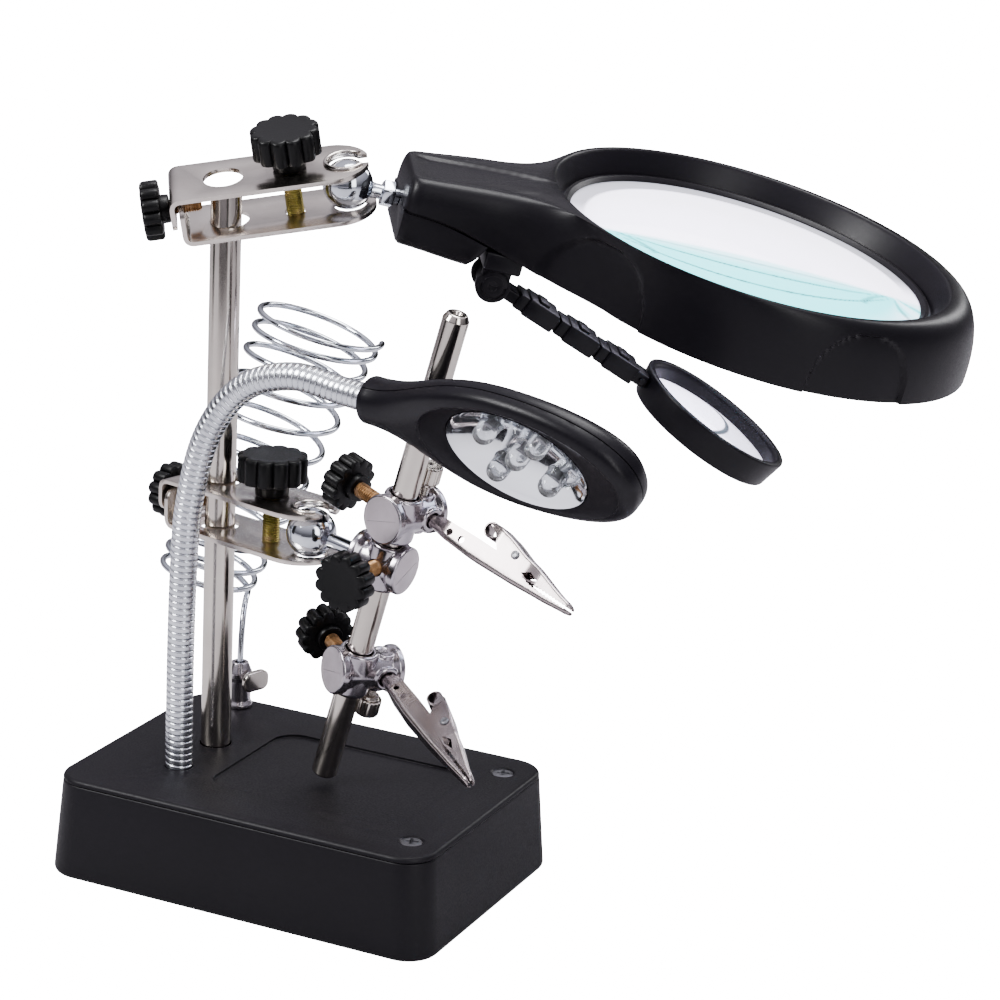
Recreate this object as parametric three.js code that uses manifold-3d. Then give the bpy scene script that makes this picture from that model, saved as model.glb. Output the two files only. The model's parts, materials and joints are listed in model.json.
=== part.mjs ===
// Helping-hands clamp with magnifier, LED lamp and soldering-iron holder.
// Millimetres, +Z up. The origin is the centre of the base's flat underside, +X along its long side.

import * as THREE from 'three';
import Module from 'manifold-3d';
import { ConvexGeometry } from 'three/addons/geometries/ConvexGeometry.js';
import { mergeVertices } from 'three/addons/utils/BufferGeometryUtils.js';

const wasm = await Module();
wasm.setup();

// ---------------------------------------------------------------- driving dimensions

const GAP = 0.3; // clearance between fitted pieces

const BASE = { length: 100, width: 70, corner: 8, top: 25.4, flare: 1.036, lid: 1.4, wall: 2.5, floor: 3 };
const RECESS = { x0: -16.5, x1: 36, y0: -19.5, y1: 20, corner: 6, depth: 0.5 };
const BALLAST = { length: 76, width: 50, height: 10 };
const LID_SCREW = { x: 42, y: 24.5, head: 2.6, shank: 1.4, length: 9 };
const FOOT = { x: 42, y: 27, radius: 5, thickness: 1.2 };

const POST = { x: -27.5, y: 4.4, radius: 3.7, top: 164.4 };
const NECK_FOOT = new THREE.Vector3(-27.3, -13.4, BASE.top);
const HOLDER = { x: -35.5, y: 29.6, height: 12, radius: 3 };

// A clamp is two plates held apart, in its own frame: +X from the post to the ball.
const CLAMP = {
  gap: 10, plate: 1.1, width: 18.5, postHole: 4.75, flangeX: -11.8, flangeDrop: 8.4,
  screwX: 17, screwHole: 2.5, ballX: 30, seat: 3.9, nose: 6.2, slot: 4.6,
};
const UPPER_CLAMP = { x: -27.9, y: 4.2, z: 157.3, yaw: 30.5, pitch: 9.5, roll: 15.2 };
const LOWER_CLAMP = { x: POST.x, y: POST.y, z: 82.2, yaw: -13.8, pitch: 0, roll: 0 };
const BALL = { radius: 6, stem: 1.8 };

const PINCH_KNOB = { radius: 8.6, lobes: 12, height: 6.6, hub: 4.1, hubLength: 3.5, screw: 2.1 };
const SET_KNOB = { radius: 7.2, lobes: 12, height: 4.4, hub: 3, hubLength: 2, screw: 1.6 };
const BLOCK_KNOB = { radius: 7.1, lobes: 12, height: 5, hub: 3.4, hubLength: 1.5, screw: 1.9 };

// The magnifier head in its own frame: origin at the ball, +X to the lens, +Z out of the lens.
const HEAD = { yaw: 34.3, pitch: -12.6, roll: 8.2 };
const RING = { x: 98, top: 12.4, bottom: -6, topRadius: 51, lowX: 104.5, lowRadius: 53.5 };
const LENS = { radius: 45.5, seat: 44, seatZ: 3, thickness: 2.6, crown: 2.2 };
const HEAD_NECK = { start: 12.5, halfWidth: 13, top: 8.2, bottom: -7.8, seam: 0.6, coverEnd: 30 };
const AUX = { x: 37.3, y: -10, z: -11.4, swing: 20, arm: 46.5, reach: 66.6, radius: 20.5, glass: 17.8 };

// The cross rod, its blocks and the clips. Blocks sit along the rod, measured from its low end.
const ROD = { x: 6.8, y: -2.4, z: 27.1, tilt: 15.4, azimuth: -7.5, radius: 3.15, length: 124 };
const BLOCK = { radius: 5.9, cap: 6, far: -11, waist: 4.9, bore: 3.5, clipX: -6.6 };
const MID_BLOCK = { along: 58.8, tail: -7.7 };
const UPPER_CLIP = { along: 71.6, turn: -104.9, roll: 31, thumbSide: 1 };
const LOWER_CLIP = { along: 29.5, turn: -125, roll: 55, thumbSide: -1 };
const CLIP = {
  stem: 1.6, start: 6.5, pivotY: 30.3, pivotZ: 3.9, rivet: 0.8, tip: 49.2,
  rootHalf: 3.9, tipHalf: 1.5, innerHalf: 1.55, sheet: 0.7, innerSheet: 0.5,
};

// The lamp in its own frame: origin at the reflector's centre, +X to the tip, +Z where it shines.
const LAMP = { x: 65.2, y: -29.6, z: 121, tip: 31, halfWidth: 17, depth: 10.5, neckX: -44, neckZ: -6 };
const LAMP_LONG = new THREE.Vector3(0.98, -0.192, -0.043);
const LAMP_FACE = new THREE.Vector3(-0.184, -0.819, -0.544);
const REFLECTOR = { a: 18.6, b: 13.8, depth: 4, sheet: 0.8 };
const LED = { radius: 2.5, x: 7, y: 5.8 };
const SWITCH = { radius: 6.6, x: -3, height: 4.5 };
const GOOSENECK = { radius: 3.3, x: -25.8, y: -13.6, hinge: 90.4 };

// The coil leans along its axis, and its turns face a little more upright than that.
const COIL = { wire: 0.8, lowRadius: 11.6, topRadius: 15.8, turns: 11, length: 75, endPitch: 0.32 };
const COIL_LOW = new THREE.Vector3(-49.5, 35, 55.6);
const COIL_AXIS = new THREE.Vector3(0.356, 0.129, 0.925).normalize();
const COIL_FACE = new THREE.Vector3(0.26, 0.119, 0.958).normalize();

// ---------------------------------------------------------------- finishes

const finish = (color, roughness, metalness) => () =>
  new THREE.MeshStandardMaterial({ color, roughness, metalness });

const blackPlastic = finish(0x1c1b20, 0.45, 0);
const knobPlastic = finish(0x121215, 0.5, 0);
const nickel = finish(0xcfc8c2, 0.22, 1);
const chrome = finish(0xc9d0dc, 0.15, 1);
const dieCast = finish(0xa9a7ad, 0.28, 1);
const steel = finish(0x6e6e72, 0.5, 1);
const rubber = finish(0x18181a, 0.85, 0);
const mirror = finish(0xe6eaf5, 0.08, 1);
const epoxy = finish(0xf1f3f7, 0.1, 0);
const glass = finish(0xdff2f4, 0.03, 0);

// ---------------------------------------------------------------- solids: joining and cutting

function toSolid(geometry) {
  const bare = geometry.index ? geometry.toNonIndexed() : geometry.clone();
  bare.deleteAttribute('normal');
  bare.deleteAttribute('uv');
  const merged = mergeVertices(bare, 1e-4);
  const mesh = new wasm.Mesh({
    numProp: 3,
    vertProperties: new Float32Array(merged.attributes.position.array),
    triVerts: new Uint32Array(merged.index.array),
  });
  return new wasm.Manifold(mesh);
}

function toGeometry(solid) {
  const mesh = solid.getMesh();
  const geometry = new THREE.BufferGeometry();
  geometry.setAttribute('position', new THREE.BufferAttribute(mesh.vertProperties, 3));
  geometry.setIndex(new THREE.BufferAttribute(mesh.triVerts, 1));
  geometry.computeVertexNormals();
  return geometry;
}

function join(first, ...others) {
  return toGeometry(others.reduce((sum, other) => sum.add(toSolid(other)), toSolid(first)));
}

function cut(first, ...tools) {
  return toGeometry(tools.reduce((rest, tool) => rest.subtract(toSolid(tool)), toSolid(first)));
}

// ---------------------------------------------------------------- basic shapes

// A cylinder along +Z from z0 to z1.
function pin(radius, z0, z1, sides = 14, topRadius = radius) {
  const height = z1 - z0;
  return new THREE.CylinderGeometry(topRadius, radius, height, sides)
    .rotateX(Math.PI / 2)
    .translate(0, 0, z0 + height / 2);
}

// The same along +X and along +Y.
const pinX = (radius, x0, x1, sides = 14) => pin(radius, x0, x1, sides).rotateY(Math.PI / 2);
const pinY = (radius, y0, y1, sides = 14) => pin(radius, -y1, -y0, sides).rotateX(Math.PI / 2);

function box(x0, x1, y0, y1, z0, z1) {
  return new THREE.BoxGeometry(x1 - x0, y1 - y0, z1 - z0)
    .translate((x0 + x1) / 2, (y0 + y1) / 2, (z0 + z1) / 2);
}

function roundedRectangle(x0, x1, y0, y1, r) {
  const shape = new THREE.Shape();
  shape.moveTo(x0 + r, y0);
  shape.absarc(x1 - r, y0 + r, r, -Math.PI / 2, 0);
  shape.absarc(x1 - r, y1 - r, r, 0, Math.PI / 2);
  shape.absarc(x0 + r, y1 - r, r, Math.PI / 2, Math.PI);
  shape.absarc(x0 + r, y0 + r, r, Math.PI, 1.5 * Math.PI);
  return shape;
}

// A shape raised along +Z from z0 to z1, with an optional rounded edge.
function slab(shape, z0, z1, edge = 0, curveSegments = 4) {
  const geometry = new THREE.ExtrudeGeometry(shape, {
    depth: z1 - z0 - 2 * edge,
    bevelEnabled: edge > 0,
    bevelThickness: edge,
    bevelSize: edge,
    bevelOffset: -edge,
    bevelSegments: 1,
    curveSegments,
  });
  return geometry.translate(0, 0, z0 + edge);
}

// Moves every vertex of a geometry by a rule.
function reshape(geometry, rule) {
  const position = geometry.attributes.position;
  const v = new THREE.Vector3();
  for (let i = 0; i < position.count; i += 1) {
    v.fromBufferAttribute(position, i);
    rule(v);
    position.setXYZ(i, v.x, v.y, v.z);
  }
  return geometry;
}

// A body of revolution about +Z from [radius, z] pairs that start and end on the axis.
function turned(profile, sides = 20) {
  const points = profile.map(([r, z]) => new THREE.Vector2(r, z));
  return new THREE.LatheGeometry(points, sides).rotateX(Math.PI / 2);
}

// A round bar of constant radius along a curve.
function sweep(curve, radius, steps, sides) {
  const circle = new THREE.Shape();
  for (let i = 0; i < sides; i += 1) {
    const a = (2 * Math.PI * i) / sides;
    const x = radius * Math.cos(a);
    const y = radius * Math.sin(a);
    if (i === 0) circle.moveTo(x, y);
    else circle.lineTo(x, y);
  }
  circle.closePath();
  return new THREE.ExtrudeGeometry(circle, { steps, extrudePath: curve, bevelEnabled: false });
}

// ---------------------------------------------------------------- placing

const root = new THREE.Group();

function add(parent, name, geometry, material) {
  const mesh = new THREE.Mesh(geometry, material());
  mesh.name = name;
  parent.add(mesh);
  return mesh;
}

function groupAt(parent, x, y, z) {
  const group = new THREE.Group();
  group.position.set(x, y, z);
  parent.add(group);
  return group;
}

// Turns a group by yaw about +Z, then pitch (nose up) and roll about its own axes, in degrees.
function aim(group, yaw, pitch, roll) {
  const rad = THREE.MathUtils.degToRad;
  group.rotation.set(rad(roll), -rad(pitch), rad(yaw), 'ZYX');
  return group;
}

// ---------------------------------------------------------------- base

const feet = [
  ['front_left', -FOOT.x, -FOOT.y],
  ['back_left', -FOOT.x, FOOT.y],
  ['front_right', FOOT.x, -FOOT.y],
  ['back_right', FOOT.x, FOOT.y],
];

function buildBase() {
  const halfL = BASE.length / 2;
  const halfW = BASE.width / 2;
  const seam = BASE.top - BASE.lid;
  const outer = roundedRectangle(-halfL, halfL, -halfW, halfW, BASE.corner);
  const inner = roundedRectangle(
    -halfL + BASE.wall, halfL - BASE.wall, -halfW + BASE.wall, halfW - BASE.wall, BASE.corner - BASE.wall,
  );
  const shell = reshape(slab(outer, 0, seam), (v) => {
    const flare = THREE.MathUtils.mapLinear(v.z, 0, seam, BASE.flare, 1);
    v.x *= flare;
    v.y *= flare;
  });
  const bosses = [];
  const bores = [];
  for (const side of [-1, 1]) {
    const y = side * LID_SCREW.y;
    bosses.push(pin(4, BASE.floor - 0.5, seam - 0.1, 16).translate(LID_SCREW.x, y, 0));
    const bore = pin(LID_SCREW.shank + GAP, seam - LID_SCREW.length, BASE.top, 16);
    bores.push(bore.translate(LID_SCREW.x, y, 0));
  }
  for (const [name, x, y] of feet) {
    const pad = pin(FOOT.radius, 0, FOOT.thickness, 20);
    add(root, `foot_${name}`, pad, rubber).position.set(x, y, 0);
    bores.push(pin(FOOT.radius + GAP, -1, FOOT.thickness + GAP, 20).translate(x, y, 0));
  }
  const tray = cut(join(cut(shell, slab(inner, BASE.floor, seam + 1)), ...bosses), ...bores);
  add(root, 'base_tray', tray, blackPlastic);

  const recess = roundedRectangle(RECESS.x0, RECESS.x1, RECESS.y0, RECESS.y1, RECESS.corner);
  const lidHoles = [
    pin(POST.radius + 0.2, seam - 1, BASE.top + 1, 24).translate(POST.x, POST.y, 0),
    pin(GOOSENECK.radius + 0.2, seam - 1, BASE.top + 1, 16).translate(NECK_FOOT.x, NECK_FOOT.y, 0),
  ];
  for (const side of [-1, 1]) {
    const seat = join(
      pin(LID_SCREW.shank + GAP, seam - 1, BASE.top + 1, 16),
      pin(LID_SCREW.head + 0.2, BASE.top - 0.9, BASE.top + 1, 20),
    );
    lidHoles.push(seat.translate(LID_SCREW.x, side * LID_SCREW.y, 0));
  }
  const pocket = slab(recess, BASE.top - RECESS.depth, BASE.top + 1);
  const lid = cut(slab(outer, seam, BASE.top, 0.4), pocket, ...lidHoles);
  add(root, 'base_lid', lid, blackPlastic);

  const weight = roundedRectangle(
    -BALLAST.length / 2, BALLAST.length / 2, -BALLAST.width / 2, BALLAST.width / 2, 3,
  );
  const ballast = slab(weight, BASE.floor, BASE.floor + BALLAST.height).translate(-6, 0, 0);
  add(root, 'ballast_plate', ballast, steel);

  for (const [name, side] of [['front', -1], ['back', 1]]) {
    const screw = join(
      pin(LID_SCREW.shank, BASE.top - LID_SCREW.length, BASE.top - 0.5, 12),
      pin(LID_SCREW.head, BASE.top - 0.85, BASE.top - 0.1, 20),
    );
    const slot = box(-1.5, 1.5, -0.3, 0.3, BASE.top - 0.5, BASE.top);
    const crossSlot = box(-0.3, 0.3, -1.5, 1.5, BASE.top - 0.5, BASE.top);
    const lidScrew = add(root, `lid_screw_${name}`, cut(screw, slot, crossSlot), steel);
    lidScrew.position.set(LID_SCREW.x, side * LID_SCREW.y, 0);
  }
}

// ---------------------------------------------------------------- post

function buildPost() {
  const bottom = BASE.floor + BALLAST.height;
  const profile = [
    [0, bottom],
    [POST.radius, bottom],
    [POST.radius, POST.top - 0.5],
    [POST.radius - 0.5, POST.top],
    [0, POST.top],
  ];
  add(root, 'main_post', turned(profile, 20), nickel).position.set(POST.x, POST.y, 0);
}

// ---------------------------------------------------------------- knobs

// A lobed knob with its screw: +Z points out of the knob, and the hub's seat is at z = 0.
function knob({ radius, lobes, height, hub, hubLength, screw }, screwLength) {
  const rim = new THREE.Shape();
  const count = lobes * 4;
  for (let i = 0; i < count; i += 1) {
    const a = (2 * Math.PI * i) / count;
    const r = radius - 0.55 + 0.55 * Math.cos(lobes * a);
    if (i === 0) rim.moveTo(r, 0);
    else rim.lineTo(r * Math.cos(a), r * Math.sin(a));
  }
  rim.closePath();
  const head = slab(rim, hubLength, hubLength + height);
  return join(head, pin(hub, 0, hubLength + 1, 12), pin(screw, -screwLength, 0.5, 10));
}

// ---------------------------------------------------------------- clamps

// The outline of one plate: straight sides and a rounded nose round the ball's seat.
function plateOutline(start) {
  const half = CLAMP.width / 2;
  const bend = CLAMP.ballX - 3;
  const shape = new THREE.Shape();
  shape.moveTo(start, -half);
  shape.lineTo(bend, -half);
  shape.absellipse(bend, 0, CLAMP.ballX + CLAMP.nose - bend, half, -Math.PI / 2, Math.PI / 2);
  shape.lineTo(start, half);
  shape.closePath();
  return shape;
}

function buildClamp(prefix, place, parent) {
  const group = aim(groupAt(parent, place.x, place.y, place.z), place.yaw, place.pitch, place.roll);
  const half = CLAMP.width / 2;
  const high = CLAMP.gap + CLAMP.plate;
  const mid = CLAMP.gap / 2;
  const bores = (z0, z1) => [
    pin(CLAMP.postHole, z0, z1, 20),
    pin(CLAMP.screwHole, z0, z1, 16).translate(CLAMP.screwX, 0, 0),
    pin(CLAMP.seat, z0, z1, 16).translate(CLAMP.ballX, 0, 0),
  ];
  const setHole = pinX(SET_KNOB.screw + GAP, CLAMP.flangeX - 2, CLAMP.flangeX + 6, 16).translate(0, 0, mid);

  const topFlange = box(
    CLAMP.flangeX, CLAMP.flangeX + CLAMP.plate, -half, half, high - CLAMP.flangeDrop, high - 0.2,
  );
  const slot = box(CLAMP.ballX, CLAMP.ballX + 12, -CLAMP.slot / 2, CLAMP.slot / 2, CLAMP.gap - 1, high + 1);
  const topPlate = join(slab(plateOutline(CLAMP.flangeX), CLAMP.gap, high), topFlange);
  add(group, `${prefix}_top_plate`, cut(topPlate, setHole, slot, ...bores(CLAMP.gap - 1, high + 1)), nickel);

  const innerX = CLAMP.flangeX + CLAMP.plate + 0.9;
  const lowFlange = box(innerX, innerX + CLAMP.plate, -half, half, -CLAMP.plate + 0.2, CLAMP.flangeDrop);
  const lowPlate = join(slab(plateOutline(innerX), -CLAMP.plate, 0), lowFlange);
  add(group, `${prefix}_bottom_plate`, cut(lowPlate, setHole, ...bores(-3, 1)), nickel);

  const reach = -CLAMP.flangeX - POST.radius - 2 * GAP;
  const setKnob = add(group, `${prefix}_set_knob`, knob(SET_KNOB, reach), knobPlastic);
  setKnob.position.set(CLAMP.flangeX - GAP, 0, mid);
  setKnob.rotation.set(0, -Math.PI / 2, 0);

  const pinchReach = high + GAP + CLAMP.plate + 2.4;
  const pinch = add(group, `${prefix}_pinch_knob`, knob(PINCH_KNOB, pinchReach), knobPlastic);
  pinch.position.set(CLAMP.screwX, 0, high + GAP);
  return group;
}

// The centre of a clamp's ball seat, in the object's frame.
function seatCentre(clamp) {
  clamp.updateMatrixWorld(true);
  return new THREE.Vector3(CLAMP.ballX, 0, CLAMP.gap / 2).applyMatrix4(clamp.matrixWorld);
}

// A ball with its stem along +X, the ball's centre at the origin.
function ballStud(stemEnd) {
  const ball = new THREE.SphereGeometry(BALL.radius, 16, 10);
  return join(ball, pinX(BALL.stem, 2, stemEnd, 10));
}

// ---------------------------------------------------------------- magnifier head

// A block through two upright rectangles, each given as x, half width, low z and high z.
function wedge(...sections) {
  const corners = [];
  for (const [x, half, low, high] of sections) {
    for (const y of [-half, half]) {
      corners.push(new THREE.Vector3(x, y, low), new THREE.Vector3(x, y, high));
    }
  }
  return new ConvexGeometry(corners);
}

// The ring's outer body: a leaning cone whose foot is larger and further from the neck.
function ringBody() {
  return reshape(pin(1, 0, 1, 44), (v) => {
    const radius = THREE.MathUtils.lerp(RING.lowRadius, RING.topRadius, v.z);
    v.x = v.x * radius + THREE.MathUtils.lerp(RING.lowX, RING.x, v.z);
    v.y *= radius;
    v.z = THREE.MathUtils.lerp(RING.bottom, RING.top, v.z);
  });
}

function buildHead(parent) {
  const head = aim(groupAt(parent, 0, 0, 0), HEAD.yaw, HEAD.pitch, HEAD.roll);
  const n = HEAD_NECK;

  const hex = pinX(3.3, 8, 11.2, 6);
  add(head, 'magnifier_ball_stud', join(ballStud(17), hex), chrome);

  const neck = wedge(
    [n.start, n.halfWidth, n.seam, n.top], [34, 15.5, -2.4, 10.8], [62, 34, -5.6, RING.top - 0.2],
  );
  const well = pin(LENS.radius, LENS.seatZ, RING.top + 1, 44, 50).translate(RING.x, 0, 0);
  const opening = pin(LENS.seat, RING.bottom - 1, RING.top, 44).translate(RING.x, 0, 0);
  const stemBore = pinX(BALL.stem + GAP, n.start - 1, 17.5, 16);
  const cavity = wedge([20, 10, -5, 5.5], [44, 12, -7, 7]);
  const housing = cut(join(ringBody(), neck), well, opening, stemBore, cavity);
  add(head, 'magnifier_housing', housing, blackPlastic);

  const cover = wedge(
    [n.start + 0.4, n.halfWidth - 1, n.bottom, n.seam - GAP],
    [n.coverEnd, n.halfWidth + 1, n.bottom - 0.6, -1.8 - GAP],
  );
  add(head, 'neck_bottom_cover', cut(cover, stemBore), blackPlastic);

  const lensLow = LENS.seatZ + 0.1;
  const arc = [];
  for (let i = 0; i <= 4; i += 1) {
    const r = (LENS.radius - 0.5) * (1 - i / 4);
    const fall = (r / (LENS.radius - 0.5)) ** 2;
    arc.push([r, lensLow + LENS.thickness + LENS.crown * (1 - fall)]);
  }
  const lens = turned([[0, lensLow], [LENS.radius - 0.5, lensLow], ...arc], 36);
  add(head, 'main_lens', lens, glass).position.set(RING.x, 0, 0);

  const keeper = cut(
    pin(LENS.radius + 0.6, lensLow + LENS.thickness + GAP, lensLow + LENS.thickness + 1.3, 36),
    pin(LENS.seat - 0.3, 0, 20, 36),
  );
  add(head, 'lens_retaining_ring', keeper, blackPlastic).position.set(RING.x, 0, 0);
  return head;
}

function buildAuxLens(head) {
  const hinge = aim(groupAt(head, AUX.x, AUX.y, AUX.z), 0, -AUX.swing, 0);
  const knuckle = pinY(1.6, -4.6, 4.6, 16);

  // The bracket under the housing carries the hinge pin between two cheeks.
  const bracket = aim(groupAt(head, AUX.x, AUX.y, AUX.z), 0, 0, 0);
  const cheeks = [-1, 1].map((side) => join(
    pinY(4.2, -0.9, 0.9, 16),
    box(-3.4, 3.4, -0.9, 0.9, 0, 5.2),
  ).translate(0, side * 4.4, 0));
  const saddle = box(-3.4, 5, -5.3, 5.3, 4.2, 5.6);
  add(bracket, 'aux_hinge_bracket', join(...cheeks, saddle, knuckle), blackPlastic);

  const blocks = [10, 22, 34].map((x) => box(x, x + 8, -4.2, 4.2, -2.3, 1.9));
  const arm = cut(
    join(pinY(3.3, -3.2, 3.2, 16), box(0, AUX.arm - 5, -3.2, 3.2, -1.7, 1.3), ...blocks),
    pinY(1.6 + GAP, -6, 6, 16),
  );
  const fork = [-1, 1].map((side) => box(AUX.arm - 8, AUX.arm - 0.6, 0, 1.6, -1.6, 1.6)
    .translate(0, side > 0 ? 2.6 : -4.2, 0));
  const pivot = pinY(0.8, -4, 4, 12).translate(AUX.arm - 1.6, 0, 0);
  add(hinge, 'aux_arm', join(arm, ...fork, pivot), blackPlastic);

  const tilt = groupAt(hinge, AUX.arm - 1.6, 0, 0);
  const centre = AUX.reach - AUX.arm + 1.6;
  const lug = cut(
    join(pinY(1.6, -2.3, 2.3, 16), box(0, 2.4, -2.3, 2.3, -1.6, 1.6)),
    pinY(0.8 + GAP, -4, 4, 12),
  );
  const rim = cut(
    pin(AUX.radius - 1.2, -4.4, 3, 28, AUX.radius),
    pin(AUX.glass + 0.4, -1.6, 4, 28),
    pin(AUX.glass - 1, -6, 4, 28),
  ).translate(centre, 0, 0);
  const cleared = cut(join(rim, lug), pinY(0.8 + GAP, -4, 4, 12));
  add(tilt, 'aux_lens_ring', cleared, blackPlastic);

  const profile = [[0, -1.4], [AUX.glass, -1.4], [AUX.glass, -0.2], [11, 1], [0, 1.7]];
  add(tilt, 'aux_lens', turned(profile, 24), glass).position.set(centre, 0, 0);
}

// ---------------------------------------------------------------- cross rod, blocks and clips

// A waisted barrel along X from `far` to the cap, bored along Z for the rod.
function barrel(far) {
  const profile = [
    [0, far], [BLOCK.radius, far], [BLOCK.radius, far + 1.8], [BLOCK.waist, far + 3],
    [BLOCK.waist, BLOCK.cap - 3], [BLOCK.radius, BLOCK.cap - 1.8], [BLOCK.radius, BLOCK.cap], [0, BLOCK.cap],
  ];
  const body = turned(profile, 20).rotateY(Math.PI / 2);
  return join(body, pin(4.7, -5.6, 5.6, 16));
}

function buildBlockKnob(parent, name) {
  const reach = BLOCK.waist + 1.4 + BLOCK_KNOB.hubLength;
  const seatY = -(ROD.radius + GAP + reach + 2);
  const piece = add(parent, name, knob(BLOCK_KNOB, -seatY - ROD.radius - GAP), knobPlastic);
  piece.position.set(0, seatY, 0);
  piece.rotation.set(Math.PI / 2, 0, 0);
}

const knobBore = () => pinY(BLOCK_KNOB.screw + GAP, -12, 0, 16);

// A jaw's half width, which narrows evenly from its root to its tip.
const jawHalf = (y, rootHalf) => THREE.MathUtils.mapLinear(y, CLIP.start, CLIP.tip, rootHalf, CLIP.tipHalf);

// One jaw, or the room inside it, from its side outline.
function jaw(outline, rootHalf, inset) {
  const shape = new THREE.Shape();
  outline.forEach(([y, z], i) => (i === 0 ? shape.moveTo(y, z) : shape.lineTo(y, z)));
  shape.closePath();
  const geometry = new THREE.ExtrudeGeometry(shape, { depth: 1, steps: 1, bevelEnabled: false });
  return reshape(geometry, (v) => {
    const [y, z, side] = [v.x, v.y, v.z * 2 - 1];
    v.set(side * (jawHalf(y, rootHalf) - inset), y, z);
  });
}

function buildClip(parent, name, roll) {
  const clip = groupAt(parent, BLOCK.clipX, 0, 0);
  clip.rotation.set(0, -THREE.MathUtils.degToRad(roll), 0);
  const { start, pivotY, pivotZ, sheet, innerSheet } = CLIP;

  const lowSide = [
    [start, -1.6], [12, -2.2], [20, -2.6], [30, -2.3], [40, -1.7], [47, -1.1], [CLIP.tip, -0.7],
    [CLIP.tip - 0.5, 0.1], [36, 0.1], [pivotY + 3, pivotZ + 0.8], [pivotY, pivotZ + 1.6],
    [pivotY - 4, pivotZ], [20, 2.6], [10, 2.2], [start, 1.6],
  ];
  const lowRoom = [
    [start + 4, -1.2], [12, -1.5], [20, -1.9], [30, -1.6], [40, -1], [45, -0.5], [45, 9], [start + 4, 9],
  ];
  const bore = pinX(CLIP.rivet + GAP, -8, 8, 14).translate(0, pivotY, pivotZ);
  const lowJaw = cut(
    join(jaw(lowSide, CLIP.rootHalf, 0), pinY(CLIP.stem, -4.2, start + 1, 14)),
    jaw(lowRoom, CLIP.rootHalf, sheet),
    bore,
  );
  add(clip, `${name}_lower_jaw`, lowJaw, nickel);

  // The upper jaw runs inside the lower one's walls, and its lever ends in a wider thumb pad.
  const highSide = [
    [19, 5.2], [19.2, 6.8], [21.2, 7.8], [26, 7.1], [34, 5], [47, 1.8], [CLIP.tip, 1.1],
    [CLIP.tip - 0.5, 0.45], [36, 0.45], [pivotY + 2, 0.9], [pivotY - 3, 1.9], [23, 4],
  ];
  const highRoom = [[16, 3], [19.6, 5], [21.6, 6.9], [26, 6.4], [33.6, 4.3], [46, 1.2], [46, -3], [16, -3]];
  const pivot = groupAt(clip, 0, pivotY, pivotZ);
  const pad = box(-1.9, 1.9, 19, 22.6, 5.4, 6.9);
  const highJaw = cut(
    join(jaw(highSide, CLIP.innerHalf, 0), pad),
    jaw(highRoom, CLIP.innerHalf, innerSheet),
    bore,
  );
  add(pivot, `${name}_upper_jaw`, highJaw.translate(0, -pivotY, -pivotZ), nickel);

  const outside = jawHalf(pivotY, CLIP.rootHalf) + 0.2;
  const rivet = join(
    pinX(CLIP.rivet, -outside - 0.3, outside + 0.3, 14),
    pinX(2, outside, outside + 0.6, 16),
    pinX(2, -outside - 0.6, -outside, 16),
  );
  add(clip, `${name}_rivet`, rivet.translate(0, pivotY, pivotZ), steel);

  class Torsion extends THREE.Curve {
    getPoint(t, target = new THREE.Vector3()) {
      const a = t * 2 * 2 * Math.PI;
      return target.set(-0.7 + 1.4 * t, 1.1 * Math.cos(a), 1.1 * Math.sin(a));
    }
  }
  add(clip, `${name}_spring`, sweep(new Torsion(), 0.15, 20, 4), steel).position.set(0, pivotY, pivotZ);
}

function buildClipUnit(rodGroup, name, place) {
  const group = groupAt(rodGroup, 0, 0, place.along);
  group.rotation.z = THREE.MathUtils.degToRad(place.turn);
  const side = place.thumbSide;
  const block = cut(
    barrel(BLOCK.far),
    pin(BLOCK.bore, -8, 8, 16),
    knobBore(),
    pinY(CLIP.stem + GAP, -8, 8, 16).translate(BLOCK.clipX, 0, 0),
    pin(1.3 + GAP, 0, 8, 12).rotateX(side > 0 ? 0 : Math.PI).translate(BLOCK.clipX, 0, 0),
  );
  add(group, `${name}_block`, block, dieCast);
  buildBlockKnob(group, `${name}_block_knob`);

  const thumb = add(
    group,
    `${name}_thumb_screw`,
    join(pin(1.3, CLIP.stem + GAP, 8, 12), pin(2.2, 7, 8, 14), pin(3.1, 8, 12.4, 14)),
    nickel,
  );
  thumb.position.set(BLOCK.clipX, 0, 0);
  thumb.rotation.x = side > 0 ? 0 : Math.PI;
  buildClip(group, name, place.roll);
}

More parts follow.
